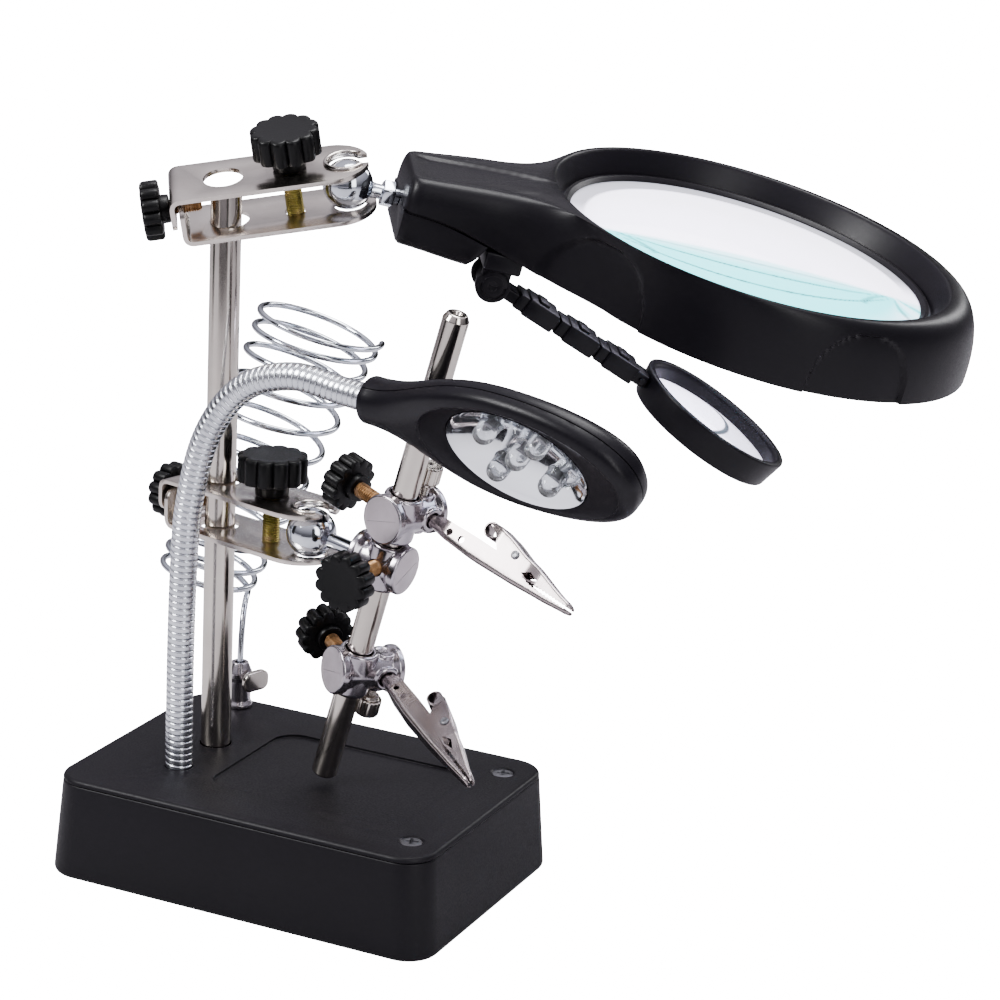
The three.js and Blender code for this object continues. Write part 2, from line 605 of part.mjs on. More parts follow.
function buildRodAssembly(lowerClamp) {
  const rodGroup = groupAt(root, ROD.x, ROD.y, ROD.z);
  const tilt = THREE.MathUtils.degToRad(ROD.tilt);
  const azimuth = THREE.MathUtils.degToRad(ROD.azimuth);
  const axis = new THREE.Vector3(-Math.sin(azimuth), Math.cos(azimuth), 0);
  rodGroup.quaternion.setFromAxisAngle(axis, tilt);

  const chamfer = 0.6;
  const profile = [
    [0, 0], [ROD.radius - chamfer, 0], [ROD.radius, chamfer], [ROD.radius, ROD.length - chamfer],
    [ROD.radius - chamfer, ROD.length], [0, ROD.length],
  ];
  add(rodGroup, 'cross_rod', turned(profile, 18), nickel);
  buildClipUnit(rodGroup, 'upper_clip', UPPER_CLIP);
  buildClipUnit(rodGroup, 'lower_clip', LOWER_CLIP);

  // The middle block joins the rod to the lower clamp's ball: its barrel lies on the stud's axis.
  rodGroup.updateMatrixWorld(true);
  const centre = new THREE.Vector3(0, 0, MID_BLOCK.along).applyMatrix4(rodGroup.matrixWorld);
  const ball = seatCentre(lowerClamp);
  const toBlock = centre.clone().sub(ball);
  const yaw = THREE.MathUtils.radToDeg(Math.atan2(toBlock.y, toBlock.x));
  const pitch = THREE.MathUtils.radToDeg(Math.asin(toBlock.z / toBlock.length()));
  const mid = aim(groupAt(root, centre.x, centre.y, centre.z), yaw, pitch, 0);
  mid.updateMatrixWorld(true);
  const rodInMid = mid.quaternion.clone().invert().multiply(rodGroup.quaternion);
  const rodBore = pin(BLOCK.bore, -9, 9, 16).applyQuaternion(rodInMid);
  const block = cut(
    barrel(MID_BLOCK.tail),
    rodBore,
    knobBore(),
    pinX(BALL.stem + GAP, MID_BLOCK.tail - 1, -4.6, 14),
  );
  add(mid, 'mid_block', block, dieCast);
  buildBlockKnob(mid, 'mid_block_knob');
  const stud = ballStud(toBlock.length() - 5.2);
  add(mid, 'rod_ball_stud', stud, chrome).position.set(-toBlock.length(), 0, 0);
}

// ---------------------------------------------------------------- gooseneck and lamp

function lampFrame() {
  const x = LAMP_LONG.clone().normalize();
  const z = LAMP_FACE.clone().addScaledVector(x, -LAMP_FACE.dot(x)).normalize();
  const y = new THREE.Vector3().crossVectors(z, x);
  const group = groupAt(root, LAMP.x, LAMP.y, LAMP.z);
  group.quaternion.setFromRotationMatrix(new THREE.Matrix4().makeBasis(x, y, z));
  group.updateMatrixWorld(true);
  return group;
}

function buildGooseneck(lamp) {
  const toWorld = (x) => new THREE.Vector3(x, 0, LAMP.neckZ).applyMatrix4(lamp.matrixWorld);
  const foot = NECK_FOOT;
  const hinge = new THREE.Vector3(GOOSENECK.x, GOOSENECK.y, GOOSENECK.hinge);
  const below = hinge.clone().add(new THREE.Vector3(-0.9, 0.1, -12));
  const lower = new THREE.CatmullRomCurve3([
    new THREE.Vector3(foot.x, foot.y, 15), foot, new THREE.Vector3(foot.x, foot.y, 56.4), below, hinge,
  ]);
  const lowTube = sweep(lower, GOOSENECK.radius, 8, 10);
  add(root, 'gooseneck_lower', join(lowTube, ballAt(hinge, GOOSENECK.radius)), chrome);

  const upper = new THREE.CatmullRomCurve3([
    hinge,
    new THREE.Vector3(-21.6, -13.6, 108.4),
    new THREE.Vector3(-15.4, -13.5, 119),
    new THREE.Vector3(-8.6, -13.5, 124.6),
    new THREE.Vector3(2.6, -14, 127.8),
    toWorld(LAMP.neckX - 8),
    toWorld(LAMP.neckX + 3),
  ]);
  const upTube = sweep(upper, GOOSENECK.radius, 22, 10);
  add(root, 'gooseneck_upper', cut(upTube, ballAt(hinge, GOOSENECK.radius + GAP)), chrome);
}

function ballAt(centre, radius) {
  return new THREE.SphereGeometry(radius, 14, 8).translate(centre.x, centre.y, centre.z);
}

// The lamp's outline seen from the front: an egg with a narrow neck at its back.
function lampOutline(inset) {
  const tip = LAMP.tip - inset;
  const half = LAMP.halfWidth - inset;
  const neck = 5.6 - inset;
  const back = LAMP.neckX + 2 + inset;
  const shape = new THREE.Shape();
  shape.moveTo(back, -neck);
  shape.bezierCurveTo(-30, -neck - 1, -20, -half, -2, -half);
  shape.bezierCurveTo(18, -half, tip, -half * 0.62, tip, 0);
  shape.bezierCurveTo(tip, half * 0.62, 18, half, -2, half);
  shape.bezierCurveTo(-20, half, -30, neck + 1, back, neck);
  shape.closePath();
  return shape;
}

const ledPlaces = [[-LED.x, -LED.y], [LED.x, -LED.y], [0, 0], [-LED.x, LED.y], [LED.x, LED.y]];

function buildLamp(lamp) {
  const rear = -LAMP.depth;
  const seam = -4;
  const cord = pinX(GOOSENECK.radius + GAP, LAMP.neckX - 2, LAMP.neckX + 8, 20).translate(0, 0, LAMP.neckZ);
  const switchWell = pin(SWITCH.radius + GAP, rear - 1, rear + 1.6, 20).translate(SWITCH.x, 0, 0);
  const hollow = slab(lampOutline(3.6), rear + 3.2, seam + 1, 0, 4);
  const back = cut(slab(lampOutline(0), rear, seam, 2.6, 6), hollow, cord, switchWell);
  add(lamp, 'lamp_back_shell', back, blackPlastic);

  const mouth = pin(1, seam - 1, 1, 28).scale(REFLECTOR.a + GAP, REFLECTOR.b + GAP, 1);
  const bezel = cut(slab(lampOutline(0), seam + 0.05, 0, 0.8, 6), mouth, cord);
  add(lamp, 'lamp_bezel', bezel, blackPlastic);

  const under = -REFLECTOR.depth - REFLECTOR.sheet;
  const dish = turned([
    [0, under],
    [0.6, under],
    [1, -0.6 - REFLECTOR.sheet],
    [1, -0.6],
    [0.58, -REFLECTOR.depth],
    [0, -REFLECTOR.depth],
  ], 28).scale(REFLECTOR.a, REFLECTOR.b, 1);
  const ledHoles = ledPlaces.map(([x, y]) => pin(LED.radius + GAP, -8, 1, 10).translate(x, y, 0));
  add(lamp, 'lamp_reflector', cut(dish, ...ledHoles), mirror);

  const flange = LED.radius + 0.2;
  const ledProfile = [[0, -6.5], [flange, -6.5], [flange, -5.5], [LED.radius, -5.5], [LED.radius, -1.6]];
  for (const a of [45, 90]) {
    const angle = THREE.MathUtils.degToRad(a);
    ledProfile.push([a === 90 ? 0 : LED.radius * Math.cos(angle), -1.6 + LED.radius * Math.sin(angle)]);
  }
  ledPlaces.forEach(([x, y], i) => {
    add(lamp, `led_${i + 1}`, turned(ledProfile, 10), epoxy).position.set(x, y, 0);
  });

  const press = -rear - 0.4;
  const cap = turned([
    [0, press], [SWITCH.radius, press], [SWITCH.radius, press + SWITCH.height - 1],
    [SWITCH.radius - 1, press + SWITCH.height], [0, press + SWITCH.height],
  ], 20).rotateX(Math.PI);
  add(lamp, 'lamp_switch', cap, knobPlastic).position.set(SWITCH.x, 0, 0);
}

// ---------------------------------------------------------------- soldering-iron holder

function buildIronHolder() {
  const holder = groupAt(root, HOLDER.x, HOLDER.y, BASE.top);
  const taper = turned([
    [0, 0], [HOLDER.radius + 0.5, 0], [HOLDER.radius, 2], [HOLDER.radius - 0.3, HOLDER.height - 0.5],
    [HOLDER.radius - 0.8, HOLDER.height], [0, HOLDER.height],
  ], 14);
  const thumbAngle = THREE.MathUtils.degToRad(-20);
  const sideways = (geometry) => geometry.rotateZ(thumbAngle).translate(0, 0, 8.5);
  const socket = cut(
    taper,
    pin(COIL.wire + GAP, 4, HOLDER.height + 1, 12),
    sideways(pinX(1.1 + GAP, 0, 6, 12)),
  );
  add(holder, 'iron_holder_socket', socket, dieCast);

  const paddle = slab(roundedRectangle(-2.6, 2.6, -4, 4, 2.4), -0.9, 0.9, 0.3)
    .rotateY(Math.PI / 2)
    .translate(6.2, 0, 0);
  const thumb = join(pinX(1.1, COIL.wire + GAP, 5.6, 12), paddle);
  add(holder, 'iron_holder_thumb_screw', sideways(thumb), nickel);

  class IronCoil extends THREE.Curve {
    getPoint(t, target = new THREE.Vector3()) {
      const tail = 0.05;
      const across = new THREE.Vector3().crossVectors(COIL_FACE, new THREE.Vector3(0, 0, 1)).normalize();
      const along = new THREE.Vector3().crossVectors(across, COIL_FACE);
      const s = Math.max(0, (t - tail) / (1 - tail));
      const angle = Math.PI + s * COIL.turns * 2 * Math.PI;
      const rise = COIL.length * THREE.MathUtils.lerp(s * s * (3 - 2 * s), s, COIL.endPitch);
      const radius = THREE.MathUtils.lerp(COIL.lowRadius, COIL.topRadius, s);
      target.copy(COIL_LOW).addScaledVector(COIL_AXIS, rise);
      target.addScaledVector(along, radius * Math.cos(angle));
      target.addScaledVector(across, radius * Math.sin(angle));
      if (t >= tail) return target;
      const end = target.clone();
      const low = new THREE.Vector3(HOLDER.x, HOLDER.y, BASE.top + 5);
      const knee = new THREE.Vector3(HOLDER.x, HOLDER.y, BASE.top + 26);
      return new THREE.QuadraticBezierCurve3(low, knee, end).getPoint(t / tail, target);
    }
  }
  add(root, 'iron_coil', sweep(new IronCoil(), COIL.wire, 140, 5), chrome);
}

// ---------------------------------------------------------------- assembly

buildBase();
buildPost();
const upperClamp = buildClamp('upper_clamp', UPPER_CLAMP, root);
const lowerClamp = buildClamp('lower_clamp', LOWER_CLAMP, root);
const headBall = seatCentre(upperClamp);
buildAuxLens(buildHead(groupAt(root, headBall.x, headBall.y, headBall.z)));
buildRodAssembly(lowerClamp);
const lamp = lampFrame();
buildGooseneck(lamp);
buildLamp(lamp);
buildIronHolder();

export default root;
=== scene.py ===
# Looks for the helping-hands clamp. Every shape is built in millimetres in the local frame of the
# joint or piece it belongs to, then placed in the shared frame in metres.

import json
import math

import bmesh
import bpy
import numpy as np
from mathutils import Matrix, Vector


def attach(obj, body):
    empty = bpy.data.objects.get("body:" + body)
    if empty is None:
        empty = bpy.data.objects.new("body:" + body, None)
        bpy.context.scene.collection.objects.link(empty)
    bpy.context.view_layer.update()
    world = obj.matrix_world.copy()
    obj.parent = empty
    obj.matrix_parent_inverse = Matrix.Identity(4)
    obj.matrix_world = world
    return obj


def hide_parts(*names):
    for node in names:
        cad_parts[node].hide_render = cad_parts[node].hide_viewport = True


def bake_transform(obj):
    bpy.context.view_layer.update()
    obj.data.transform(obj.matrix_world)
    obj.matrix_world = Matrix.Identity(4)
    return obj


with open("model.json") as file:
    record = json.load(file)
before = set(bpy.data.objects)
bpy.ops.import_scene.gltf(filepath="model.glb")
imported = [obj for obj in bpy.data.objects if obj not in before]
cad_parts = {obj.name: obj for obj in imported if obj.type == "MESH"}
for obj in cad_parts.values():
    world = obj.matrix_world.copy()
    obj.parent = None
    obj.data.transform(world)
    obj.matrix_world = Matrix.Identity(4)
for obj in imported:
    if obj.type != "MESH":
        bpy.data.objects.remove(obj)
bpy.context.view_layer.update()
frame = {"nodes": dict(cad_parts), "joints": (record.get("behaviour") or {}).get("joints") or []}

MM = 0.001
TAU = 2 * math.pi
JOINTS = {j["name"]: j for j in frame["joints"]}


# ------------------------------------------------------------------ frames taken from the joints


def joint_axis(name):
    return Vector(JOINTS[name]["axis"]).normalized()


def joint_point(name):
    return Vector(JOINTS[name]["pos_m"]) / MM


def axes(origin, x=None, y=None, z=None):
    """A local frame in millimetres from its origin and two of its axes."""
    if x is None:
        x = y.cross(z)
    elif y is None:
        y = z.cross(x)
    x = x.normalized()
    z = x.cross(y).normalized()
    y = z.cross(x)
    return Matrix.Translation(origin) @ Matrix((x, y, z)).transposed().to_4x4()


def extent(node, local):
    """Lowest and highest corner of a CAD node in a local frame, in millimetres."""
    inverse = local.inverted()
    points = np.array([inverse @ (v.co / MM) for v in frame["nodes"][node].data.vertices])
    return Vector(points.min(0)), Vector(points.max(0))


# ------------------------------------------------------------------ mesh building


def mesh_object(name, verts, faces):
    data = bpy.data.meshes.new(name)
    data.from_pydata([tuple(v) for v in verts], [], faces)
    obj = bpy.data.objects.new(name, data)
    bpy.context.scene.collection.objects.link(obj)
    return obj


def edit(obj):
    bm = bmesh.new()
    bm.from_mesh(obj.data)
    return bm


def store(bm, obj):
    bm.to_mesh(obj.data)
    bm.free()
    return obj


def clean(obj, distance=1e-4):
    bm = edit(obj)
    bmesh.ops.remove_doubles(bm, verts=bm.verts, dist=distance)
    bmesh.ops.dissolve_degenerate(bm, edges=bm.edges, dist=distance)
    bmesh.ops.recalc_face_normals(bm, faces=bm.faces)
    if bm.calc_volume(signed=True) < 0:
        bmesh.ops.reverse_faces(bm, faces=bm.faces)
    return store(bm, obj)


def skin(name, rows, capped=True):
    """A surface through closed rows of points, with a face over the first and last row if capped."""
    n = len(rows[0])
    verts = [p for row in rows for p in row]
    faces = []
    for r in range(len(rows) - 1):
        for i in range(n):
            j = (i + 1) % n
            faces.append((r * n + i, r * n + j, (r + 1) * n + j, (r + 1) * n + i))
    if capped:
        faces.append(tuple(range(n))[::-1])
        faces.append(tuple(range((len(rows) - 1) * n, len(rows) * n)))
    return clean(mesh_object(name, verts, faces))


def oval(a, b, z, centre=0.0, sides=160):
    angles = [TAU * k / sides for k in range(sides)]
    return [(centre + a * math.cos(t), b * math.sin(t), z) for t in angles]


def ring(radius, z, sides=64):
    return oval(radius, radius, z, sides=sides)


def soften(points, radius, steps=4, closed=False):
    """Rounds the corners of a polyline with short curves."""
    points = [Vector(p) for p in points]
    count = len(points)
    out = []
    for i, p in enumerate(points):
        if not closed and i in (0, count - 1):
            out.append(p)
            continue
        a, b = points[i - 1], points[(i + 1) % count]
        r = radius[i] if isinstance(radius, (list, tuple)) else radius
        r = min(r, (a - p).length * 0.45, (b - p).length * 0.45)
        if r < 1e-4:
            out.append(p)
            continue
        start = p + (a - p).normalized() * r
        end = p + (b - p).normalized() * r
        for k in range(steps + 1):
            t = k / steps
            out.append(start * (1 - t) ** 2 + p * 2 * t * (1 - t) + end * t * t)
    return out


def lathe(name, profile, sides=64, radius=0.0):
    """A body of revolution about +Z from (r, z) points, with rounded corners where radius is given."""
    points = [Vector((r, z)) for r, z in profile]
    if radius:
        points = soften(points, radius)
    return skin(name, [ring(max(p.x, 1e-6), p.y, sides) for p in points], capped=False)


def hoop(name, profile, sides=96, radius=0.0):
    """A ring about +Z whose closed section is given as (r, z) points."""
    points = soften([(r, z, 0) for r, z in profile], radius, 4, True)
    rows = [ring(p.x, p.y, sides) for p in points]
    return skin(name, rows + rows[:1], capped=False)


def rounded_rectangle(half_x, half_y, r, per_corner=8, centre=(0, 0)):
    points = []
    for q, (sx, sy) in enumerate(((1, -1), (1, 1), (-1, 1), (-1, -1))):
        for k in range(per_corner + 1):
            a = math.radians(-90 + 90 * q + 90 * k / per_corner)
            x = centre[0] + sx * (half_x - r) + r * math.cos(a)
            y = centre[1] + sy * (half_y - r) + r * math.sin(a)
            points.append((x, y))
    return points


def prism(name, outline, z0, z1, edge=0.0, steps=3):
    """A solid from a convex outline, with its top and bottom edges rounded by `edge`."""
    flat = [Vector(p[:2]) for p in outline]
    count = len(flat)
    normals = []
    for i in range(count):
        t = flat[(i + 1) % count] - flat[i - 1]
        normals.append(Vector((t.y, -t.x)).normalized())
    levels = [(0, z0)]
    if edge:
        levels = [(edge * (1 - math.sin(a)), z0 + edge * (1 - math.cos(a))) for a in arc(0, 90, steps)]
    levels += [(inset, z0 + z1 - z) for inset, z in reversed(levels)]
    rows = []
    for inset, z in levels:
        rows.append([(p.x - n.x * inset, p.y - n.y * inset, z) for p, n in zip(flat, normals)])
    return skin(name, rows)


def arc(start, end, steps):
    return [math.radians(start + (end - start) * k / steps) for k in range(steps + 1)]


def block(name, low, high, edge=0.0, steps=2):
    centre = ((low[0] + high[0]) / 2, (low[1] + high[1]) / 2)
    half = ((high[0] - low[0]) / 2, (high[1] - low[1]) / 2)
    outline = rounded_rectangle(half[0], half[1], max(edge, 0.02), steps, centre)
    return prism(name, outline, low[2], high[2], edge, steps)


def rod(name, radius, z0, z1, sides=32, chamfer=0.0):
    profile = [
        (0, z0), (radius - chamfer, z0), (radius, z0 + chamfer),
        (radius, z1 - chamfer), (radius - chamfer, z1), (0, z1),
    ]
    return lathe(name, profile, sides)


def sweep(name, path, radius, sides=16):
    """A capped tube along a path. `radius` is a number or a rule of (distance along, angle)."""
    points = [Vector(p) for p in path]
    rule = radius if callable(radius) else (lambda s, a: radius)
    normal = (points[1] - points[0]).orthogonal().normalized()
    rows, s = [], 0.0
    for i, p in enumerate(points):
        t = (points[min(i + 1, len(points) - 1)] - points[max(i - 1, 0)]).normalized()
        normal = (normal - t * normal.dot(t)).normalized()
        side = t.cross(normal)
        if i:
            s += (p - points[i - 1]).length
        row = []
        for k in range(sides):
            a = TAU * k / sides
            row.append(p + (normal * math.cos(a) + side * math.sin(a)) * rule(s, a))
        rows.append(row)
    return skin(name, rows)


def evaluate(obj):
    graph = bpy.context.evaluated_depsgraph_get()
    data = bpy.data.meshes.new_from_object(obj.evaluated_get(graph))
    obj.modifiers.clear()
    obj.data = data
    return obj


def boolean(obj, operation, tools):
    """Applies the tools in order with the exact solver, then removes them."""
    for tool in tools:
        modifier = obj.modifiers.new("boolean", "BOOLEAN")
        modifier.operation = operation
        modifier.solver = "EXACT"
        modifier.object = tool
    evaluate(obj)
    for tool in tools:
        bpy.data.objects.remove(tool)
    return obj


def carve(obj, *tools):
    return boolean(obj, "DIFFERENCE", tools)


def gather(obj, *others):
    """Puts several closed meshes in one object."""
    bm = edit(obj)
    for other in others:
        bm.from_mesh(other.data)
        bpy.data.objects.remove(other)
    return store(bm, obj)


def moved(obj, matrix):
    obj.data.transform(matrix)
    if matrix.determinant() < 0:
        obj.data.flip_normals()
    return obj


def shifted(obj, x=0, y=0, z=0):
    return moved(obj, Matrix.Translation((x, y, z)))


def turned(obj, degrees, axis):
    return moved(obj, Matrix.Rotation(math.radians(degrees), 4, axis))


def chamfer(obj, width, segments=2, angle=35):
    modifier = obj.modifiers.new("bevel", "BEVEL")
    modifier.width = width
    modifier.segments = segments
    modifier.limit_method = "ANGLE"
    modifier.angle_limit = math.radians(angle)
    modifier.harden_normals = False
    return evaluate(obj)


def melt(obj, voxel, passes=3, factor=0.5):
    """Remeshes a joined shape and relaxes it, so that its inner corners fill like a casting's."""
    remesh = obj.modifiers.new("remesh", "REMESH")
    remesh.mode = "VOXEL"
    remesh.voxel_size = voxel
    smooth = obj.modifiers.new("smooth", "SMOOTH")
    smooth.factor = factor
    smooth.iterations = passes
    return evaluate(obj)


def displace(obj, rule):
    for v in obj.data.vertices:
        v.co = rule(v.co.copy())
    obj.data.update()
    return obj


def place(obj, local, body, material, slot, *nodes, angle=35):
    """Moves a finished piece from its local frame to the shared frame and fixes it to its body."""
    obj.data.transform(Matrix.Scale(MM, 4) @ local)
    obj.data.materials.clear()
    obj.data.materials.append(material)
    obj.data.polygons.foreach_set("use_smooth", [True] * len(obj.data.polygons))
    obj.data.set_sharp_from_angle(angle=math.radians(angle))
    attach(obj, body)
    if nodes:
        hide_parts(*nodes)
    return obj


def smooth_step(edge0, edge1, value):
    t = min(max((value - edge0) / (edge1 - edge0), 0.0), 1.0)
    return t * t * (3 - 2 * t)


def lerp(a, b, t):
    return a + (b - a) * t


# ------------------------------------------------------------------ materials

# Where a mix node in colour mode keeps its factor, its two colours and its result.
MIX_INPUTS = (0, 6, 7)
MIX_RESULT = 2

class Shader:
    """A small helper that builds one node material. Textures use object coordinates in metres."""

    def __init__(self, name):
        self.material = bpy.data.materials.new(name)
        self.material.use_nodes = True
        self.tree = self.material.node_tree
        self.surface = self.tree.nodes["Principled BSDF"]
        self.coords = self.node("ShaderNodeTexCoord").outputs["Object"]

    def node(self, kind, **settings):
        made = self.tree.nodes.new(kind)
        for key, value in settings.items():
            setattr(made, key, value)
        return made

    def link(self, output, target):
        self.tree.links.new(output, target)

    def noise(self, scale, detail=4.0, roughness=0.55, stretch=None):
        made = self.node("ShaderNodeTexNoise")
        made.inputs["Scale"].default_value = scale
        made.inputs["Detail"].default_value = detail
        made.inputs["Roughness"].default_value = roughness
        if stretch:
            mapping = self.node("ShaderNodeMapping")
            mapping.inputs["Scale"].default_value = stretch
            self.link(self.coords, mapping.inputs["Vector"])
            self.link(mapping.outputs["Vector"], made.inputs["Vector"])
        else:
            self.link(self.coords, made.inputs["Vector"])
        return made.outputs["Fac"]

    def ramp(self, factor, *stops):
        made = self.node("ShaderNodeValToRGB")
        elements = made.color_ramp.elements
        while len(elements) < len(stops):
            elements.new(0.5)
        for element, (place_at, value) in zip(elements, stops):
            element.position = place_at
            element.color = (*value, 1) if isinstance(value, (tuple, list)) else (value, value, value, 1)
        self.link(factor, made.inputs["Fac"])
        return made.outputs["Color"]

    def feed(self, socket, value):
        """Sets a socket to a number or a colour, or links it to another node's output."""
        if isinstance(value, (int, float)):
            socket.default_value = value
        elif isinstance(value, tuple):
            socket.default_value = (*value, 1)
        else:
            self.link(value, socket)

    def math(self, operation, a, b, clamp=False):
        made = self.node("ShaderNodeMath", operation=operation, use_clamp=clamp)
        for socket, value in zip(made.inputs, (a, b)):
            self.feed(socket, value)
        return made.outputs["Value"]

    def mix(self, factor, a, b):
        made = self.node("ShaderNodeMix", data_type="RGBA")
        for key, value in zip(MIX_INPUTS, (factor, a, b)):
            self.feed(made.inputs[key], value)
        return made.outputs[MIX_RESULT]

    def bump(self, height, strength, distance):
        made = self.node("ShaderNodeBump")
        made.inputs["Strength"].default_value = strength
        made.inputs["Distance"].default_value = distance
        self.link(height, made.inputs["Height"])
        self.link(made.outputs["Normal"], self.surface.inputs["Normal"])

    def set(self, **values):
        sockets = {socket.name.lower().replace(" ", "_"): socket for socket in self.surface.inputs}
        for key, value in values.items():
            self.feed(sockets[key], value)


def moulded_plastic(name, dark, light, rough, grain, depth):
    """Fine spark-eroded texture with slow changes of tone and gloss."""
    s = Shader(name)
    clouds = s.noise(35, 3)
    fine = s.noise(grain, 2, 0.6)
    s.set(base_color=s.mix(clouds, dark, light))
    s.set(roughness=s.ramp(fine, (0.3, rough - 0.06), (0.7, rough + 0.08)))
    s.set(specular_ior_level=0.30)
    s.bump(fine, 0.3, depth)
    return s.material


def plated_metal(name, color, tint, rough, grain, pits=0.00001):
    """Plating over ground metal: bright, with a slow tint and fine grinding marks."""
    s = Shader(name)
    clouds = s.noise(60, 4)
    scratches = s.noise(grain, 3, 0.7, stretch=(1, 1, 0.12))
    s.set(base_color=s.mix(s.ramp(clouds, (0.35, 0.0), (0.7, 1.0)), color, tint))
    s.set(metallic=1.0)
    s.set(roughness=s.ramp(scratches, (0.3, rough * 0.94), (0.75, rough * 1.08)))
    s.bump(clouds, 0.06, pits)
    return s.material


def cast_metal(name):
    """Polished zinc casting: bright ridges, duller hollows and a faint mottle."""
    s = Shader(name)
    mottle = s.noise(420, 6, 0.7)
    clouds = s.noise(90, 3)
    s.set(base_color=s.mix(clouds, (0.36, 0.34, 0.37), (0.60, 0.56, 0.59)))
    s.set(metallic=1.0)
    s.set(roughness=s.ramp(mottle, (0.3, 0.17), (0.7, 0.26)))
    s.bump(mottle, 0.2, 0.00004)
    return s.material


def disc_metal(name):
    """The blocks' ends: a pale satin face with a fine granular bloom."""
    s = Shader(name)
    grain = s.noise(2600, 5, 0.75)
    clouds = s.noise(160, 4)
    s.set(base_color=s.mix(clouds, (0.42, 0.38, 0.40), (0.66, 0.61, 0.64)))
    s.set(metallic=0.9)
    s.set(roughness=s.ramp(grain, (0.3, 0.3), (0.7, 0.5)))
    s.bump(grain, 0.3, 0.00003)
    return s.material


def zinc_thread(name, dull, warm, bright):
    """Zinc passivation: olive or brown in the hollows, brassy on the crests."""
    s = Shader(name)
    clouds = s.noise(260, 4, 0.6)
    s.set(base_color=s.ramp(clouds, (0.3, dull), (0.52, warm), (0.72, bright)))
    s.set(metallic=0.9)
    s.set(roughness=s.ramp(s.noise(1500, 3), (0.3, 0.28), (0.7, 0.46)))
    return s.material


def dark_steel(name):
    s = Shader(name)
    s.set(base_color=s.mix(s.noise(200, 4), (0.16, 0.16, 0.17), (0.34, 0.34, 0.36)))
    s.set(metallic=1.0)
    s.set(roughness=s.ramp(s.noise(1800, 4), (0.3, 0.28), (0.7, 0.5)))
    return s.material


def foot_rubber(name):
    s = Shader(name)
    grain = s.noise(2500, 4, 0.7)
    s.set(base_color=s.mix(grain, (0.012, 0.012, 0.012), (0.035, 0.034, 0.033)))
    s.set(roughness=0.85)
    s.bump(grain, 0.4, 0.00005)
    return s.material


def reflector_metal(name):
    """Vacuum-metallised plastic: a bright mirror with a very faint ripple."""
    s = Shader(name)
    ripple = s.noise(120, 2)
    s.set(base_color=s.mix(ripple, (0.90, 0.94, 1.0), (0.97, 0.98, 1.0)))
    s.set(metallic=1.0)
    s.set(roughness=s.ramp(s.noise(700, 2), (0.3, 0.05), (0.8, 0.16)))
    s.bump(ripple, 0.15, 0.0001)
    return s.material


def clear_epoxy(name):
    s = Shader(name)
    haze = s.noise(900, 3)
    s.set(base_color=s.mix(haze, (0.90, 0.92, 0.94), (0.98, 0.99, 1.0)))
    s.set(transmission_weight=0.92)
    s.set(ior=1.5)
    s.set(roughness=s.ramp(haze, (0.3, 0.02), (0.8, 0.09)))
    return s.material


def lens_glass(name, clear):
    """Clear plastic lens whose colour holds painted reflections stored on its points: cyan reflections, dark
    arcs and a grey far edge. That colour also glows, as painted light.
    """
    s = Shader(name)
    haze = s.noise(300, 2)
    tint, line, band = (
        s.node("ShaderNodeAttribute", attribute_name=mark).outputs["Fac"] for mark in LENS_PAINTED_LIGHT
    )
    body = s.mix(haze, (0.86, 0.84, 0.96), (0.92, 0.90, 1.0))
    # The cyan tint, the grey band and the dark lines are painted reflections mixed into the lens's colour.
    body = s.mix(tint, body, (0.18, 0.70, 0.74))
    body = s.mix(band, body, (0.30, 0.30, 0.33))
    body = s.mix(line, body, (0.035, 0.05, 0.06))
    s.set(base_color=body)
    tinted = s.math("MULTIPLY", tint, 0.8)
    marked = s.math("ADD", s.math("MULTIPLY", band, 0.4), line)
    cover = s.math("ADD", tinted, marked, clamp=True)
    s.set(alpha=s.math("ADD", s.math("MULTIPLY", cover, 1 - clear), clear, clamp=True))
    s.set(ior=1.47)
    s.set(roughness=s.ramp(haze, (0.3, 0.03), (0.9, 0.06)))
    # The lens glows in that colour, painted reflections included: a painted glow, not a lamp.
    s.set(emission_color=body)
    s.set(emission_strength=LENS_PAINTED_GLOW)
    return s.material


# Names of the painted reflections stored on the lenses' points, and the strength of the lenses' painted glow.
LENS_PAINTED_LIGHT = ("tint", "line", "band")
LENS_PAINTED_GLOW = 1.6
BASE_PLASTIC = moulded_plastic(
    "base_plastic", (0.0052, 0.0045, 0.0066), (0.0082, 0.0070, 0.0100), 0.42, 2200, 0.00002)
HEAD_PLASTIC = moulded_plastic(
    "head_plastic", (0.0052, 0.0044, 0.0066), (0.0080, 0.0068, 0.0100), 0.36, 2600, 0.00002)
LAMP_PLASTIC = moulded_plastic(
    "lamp_plastic", (0.0056, 0.0048, 0.0074), (0.0086, 0.0075, 0.0110), 0.34, 2600, 0.00001)
KNOB_PLASTIC = moulded_plastic(
    "knob_plastic", (0.0026, 0.0026, 0.0030), (0.0052, 0.0052, 0.0058), 0.36, 3000, 0.00003)
NICKEL = plated_metal("nickel", (0.56, 0.52, 0.48), (0.68, 0.64, 0.59), 0.15, 900)
PLATE_NICKEL = plated_metal("plate_nickel", (0.58, 0.54, 0.50), (0.72, 0.67, 0.63), 0.24, 1600, 0.000003)
CLIP_NICKEL = plated_metal("clip_nickel", (0.36, 0.32, 0.32), (0.50, 0.45, 0.45), 0.25, 1800, 0.000003)
CHROME = plated_metal("chrome", (0.58, 0.61, 0.66), (0.72, 0.75, 0.80), 0.12, 1200, 0.000005)
HOSE_CHROME = plated_metal("hose_chrome", (0.64, 0.66, 0.70), (0.76, 0.78, 0.82), 0.26, 1200, 0.000005)
CAST = cast_metal("cast")
DISC = disc_metal("disc")
OLIVE_THREAD = zinc_thread("olive_thread", (0.16, 0.15, 0.04), (0.40, 0.34, 0.12), (0.50, 0.38, 0.20))
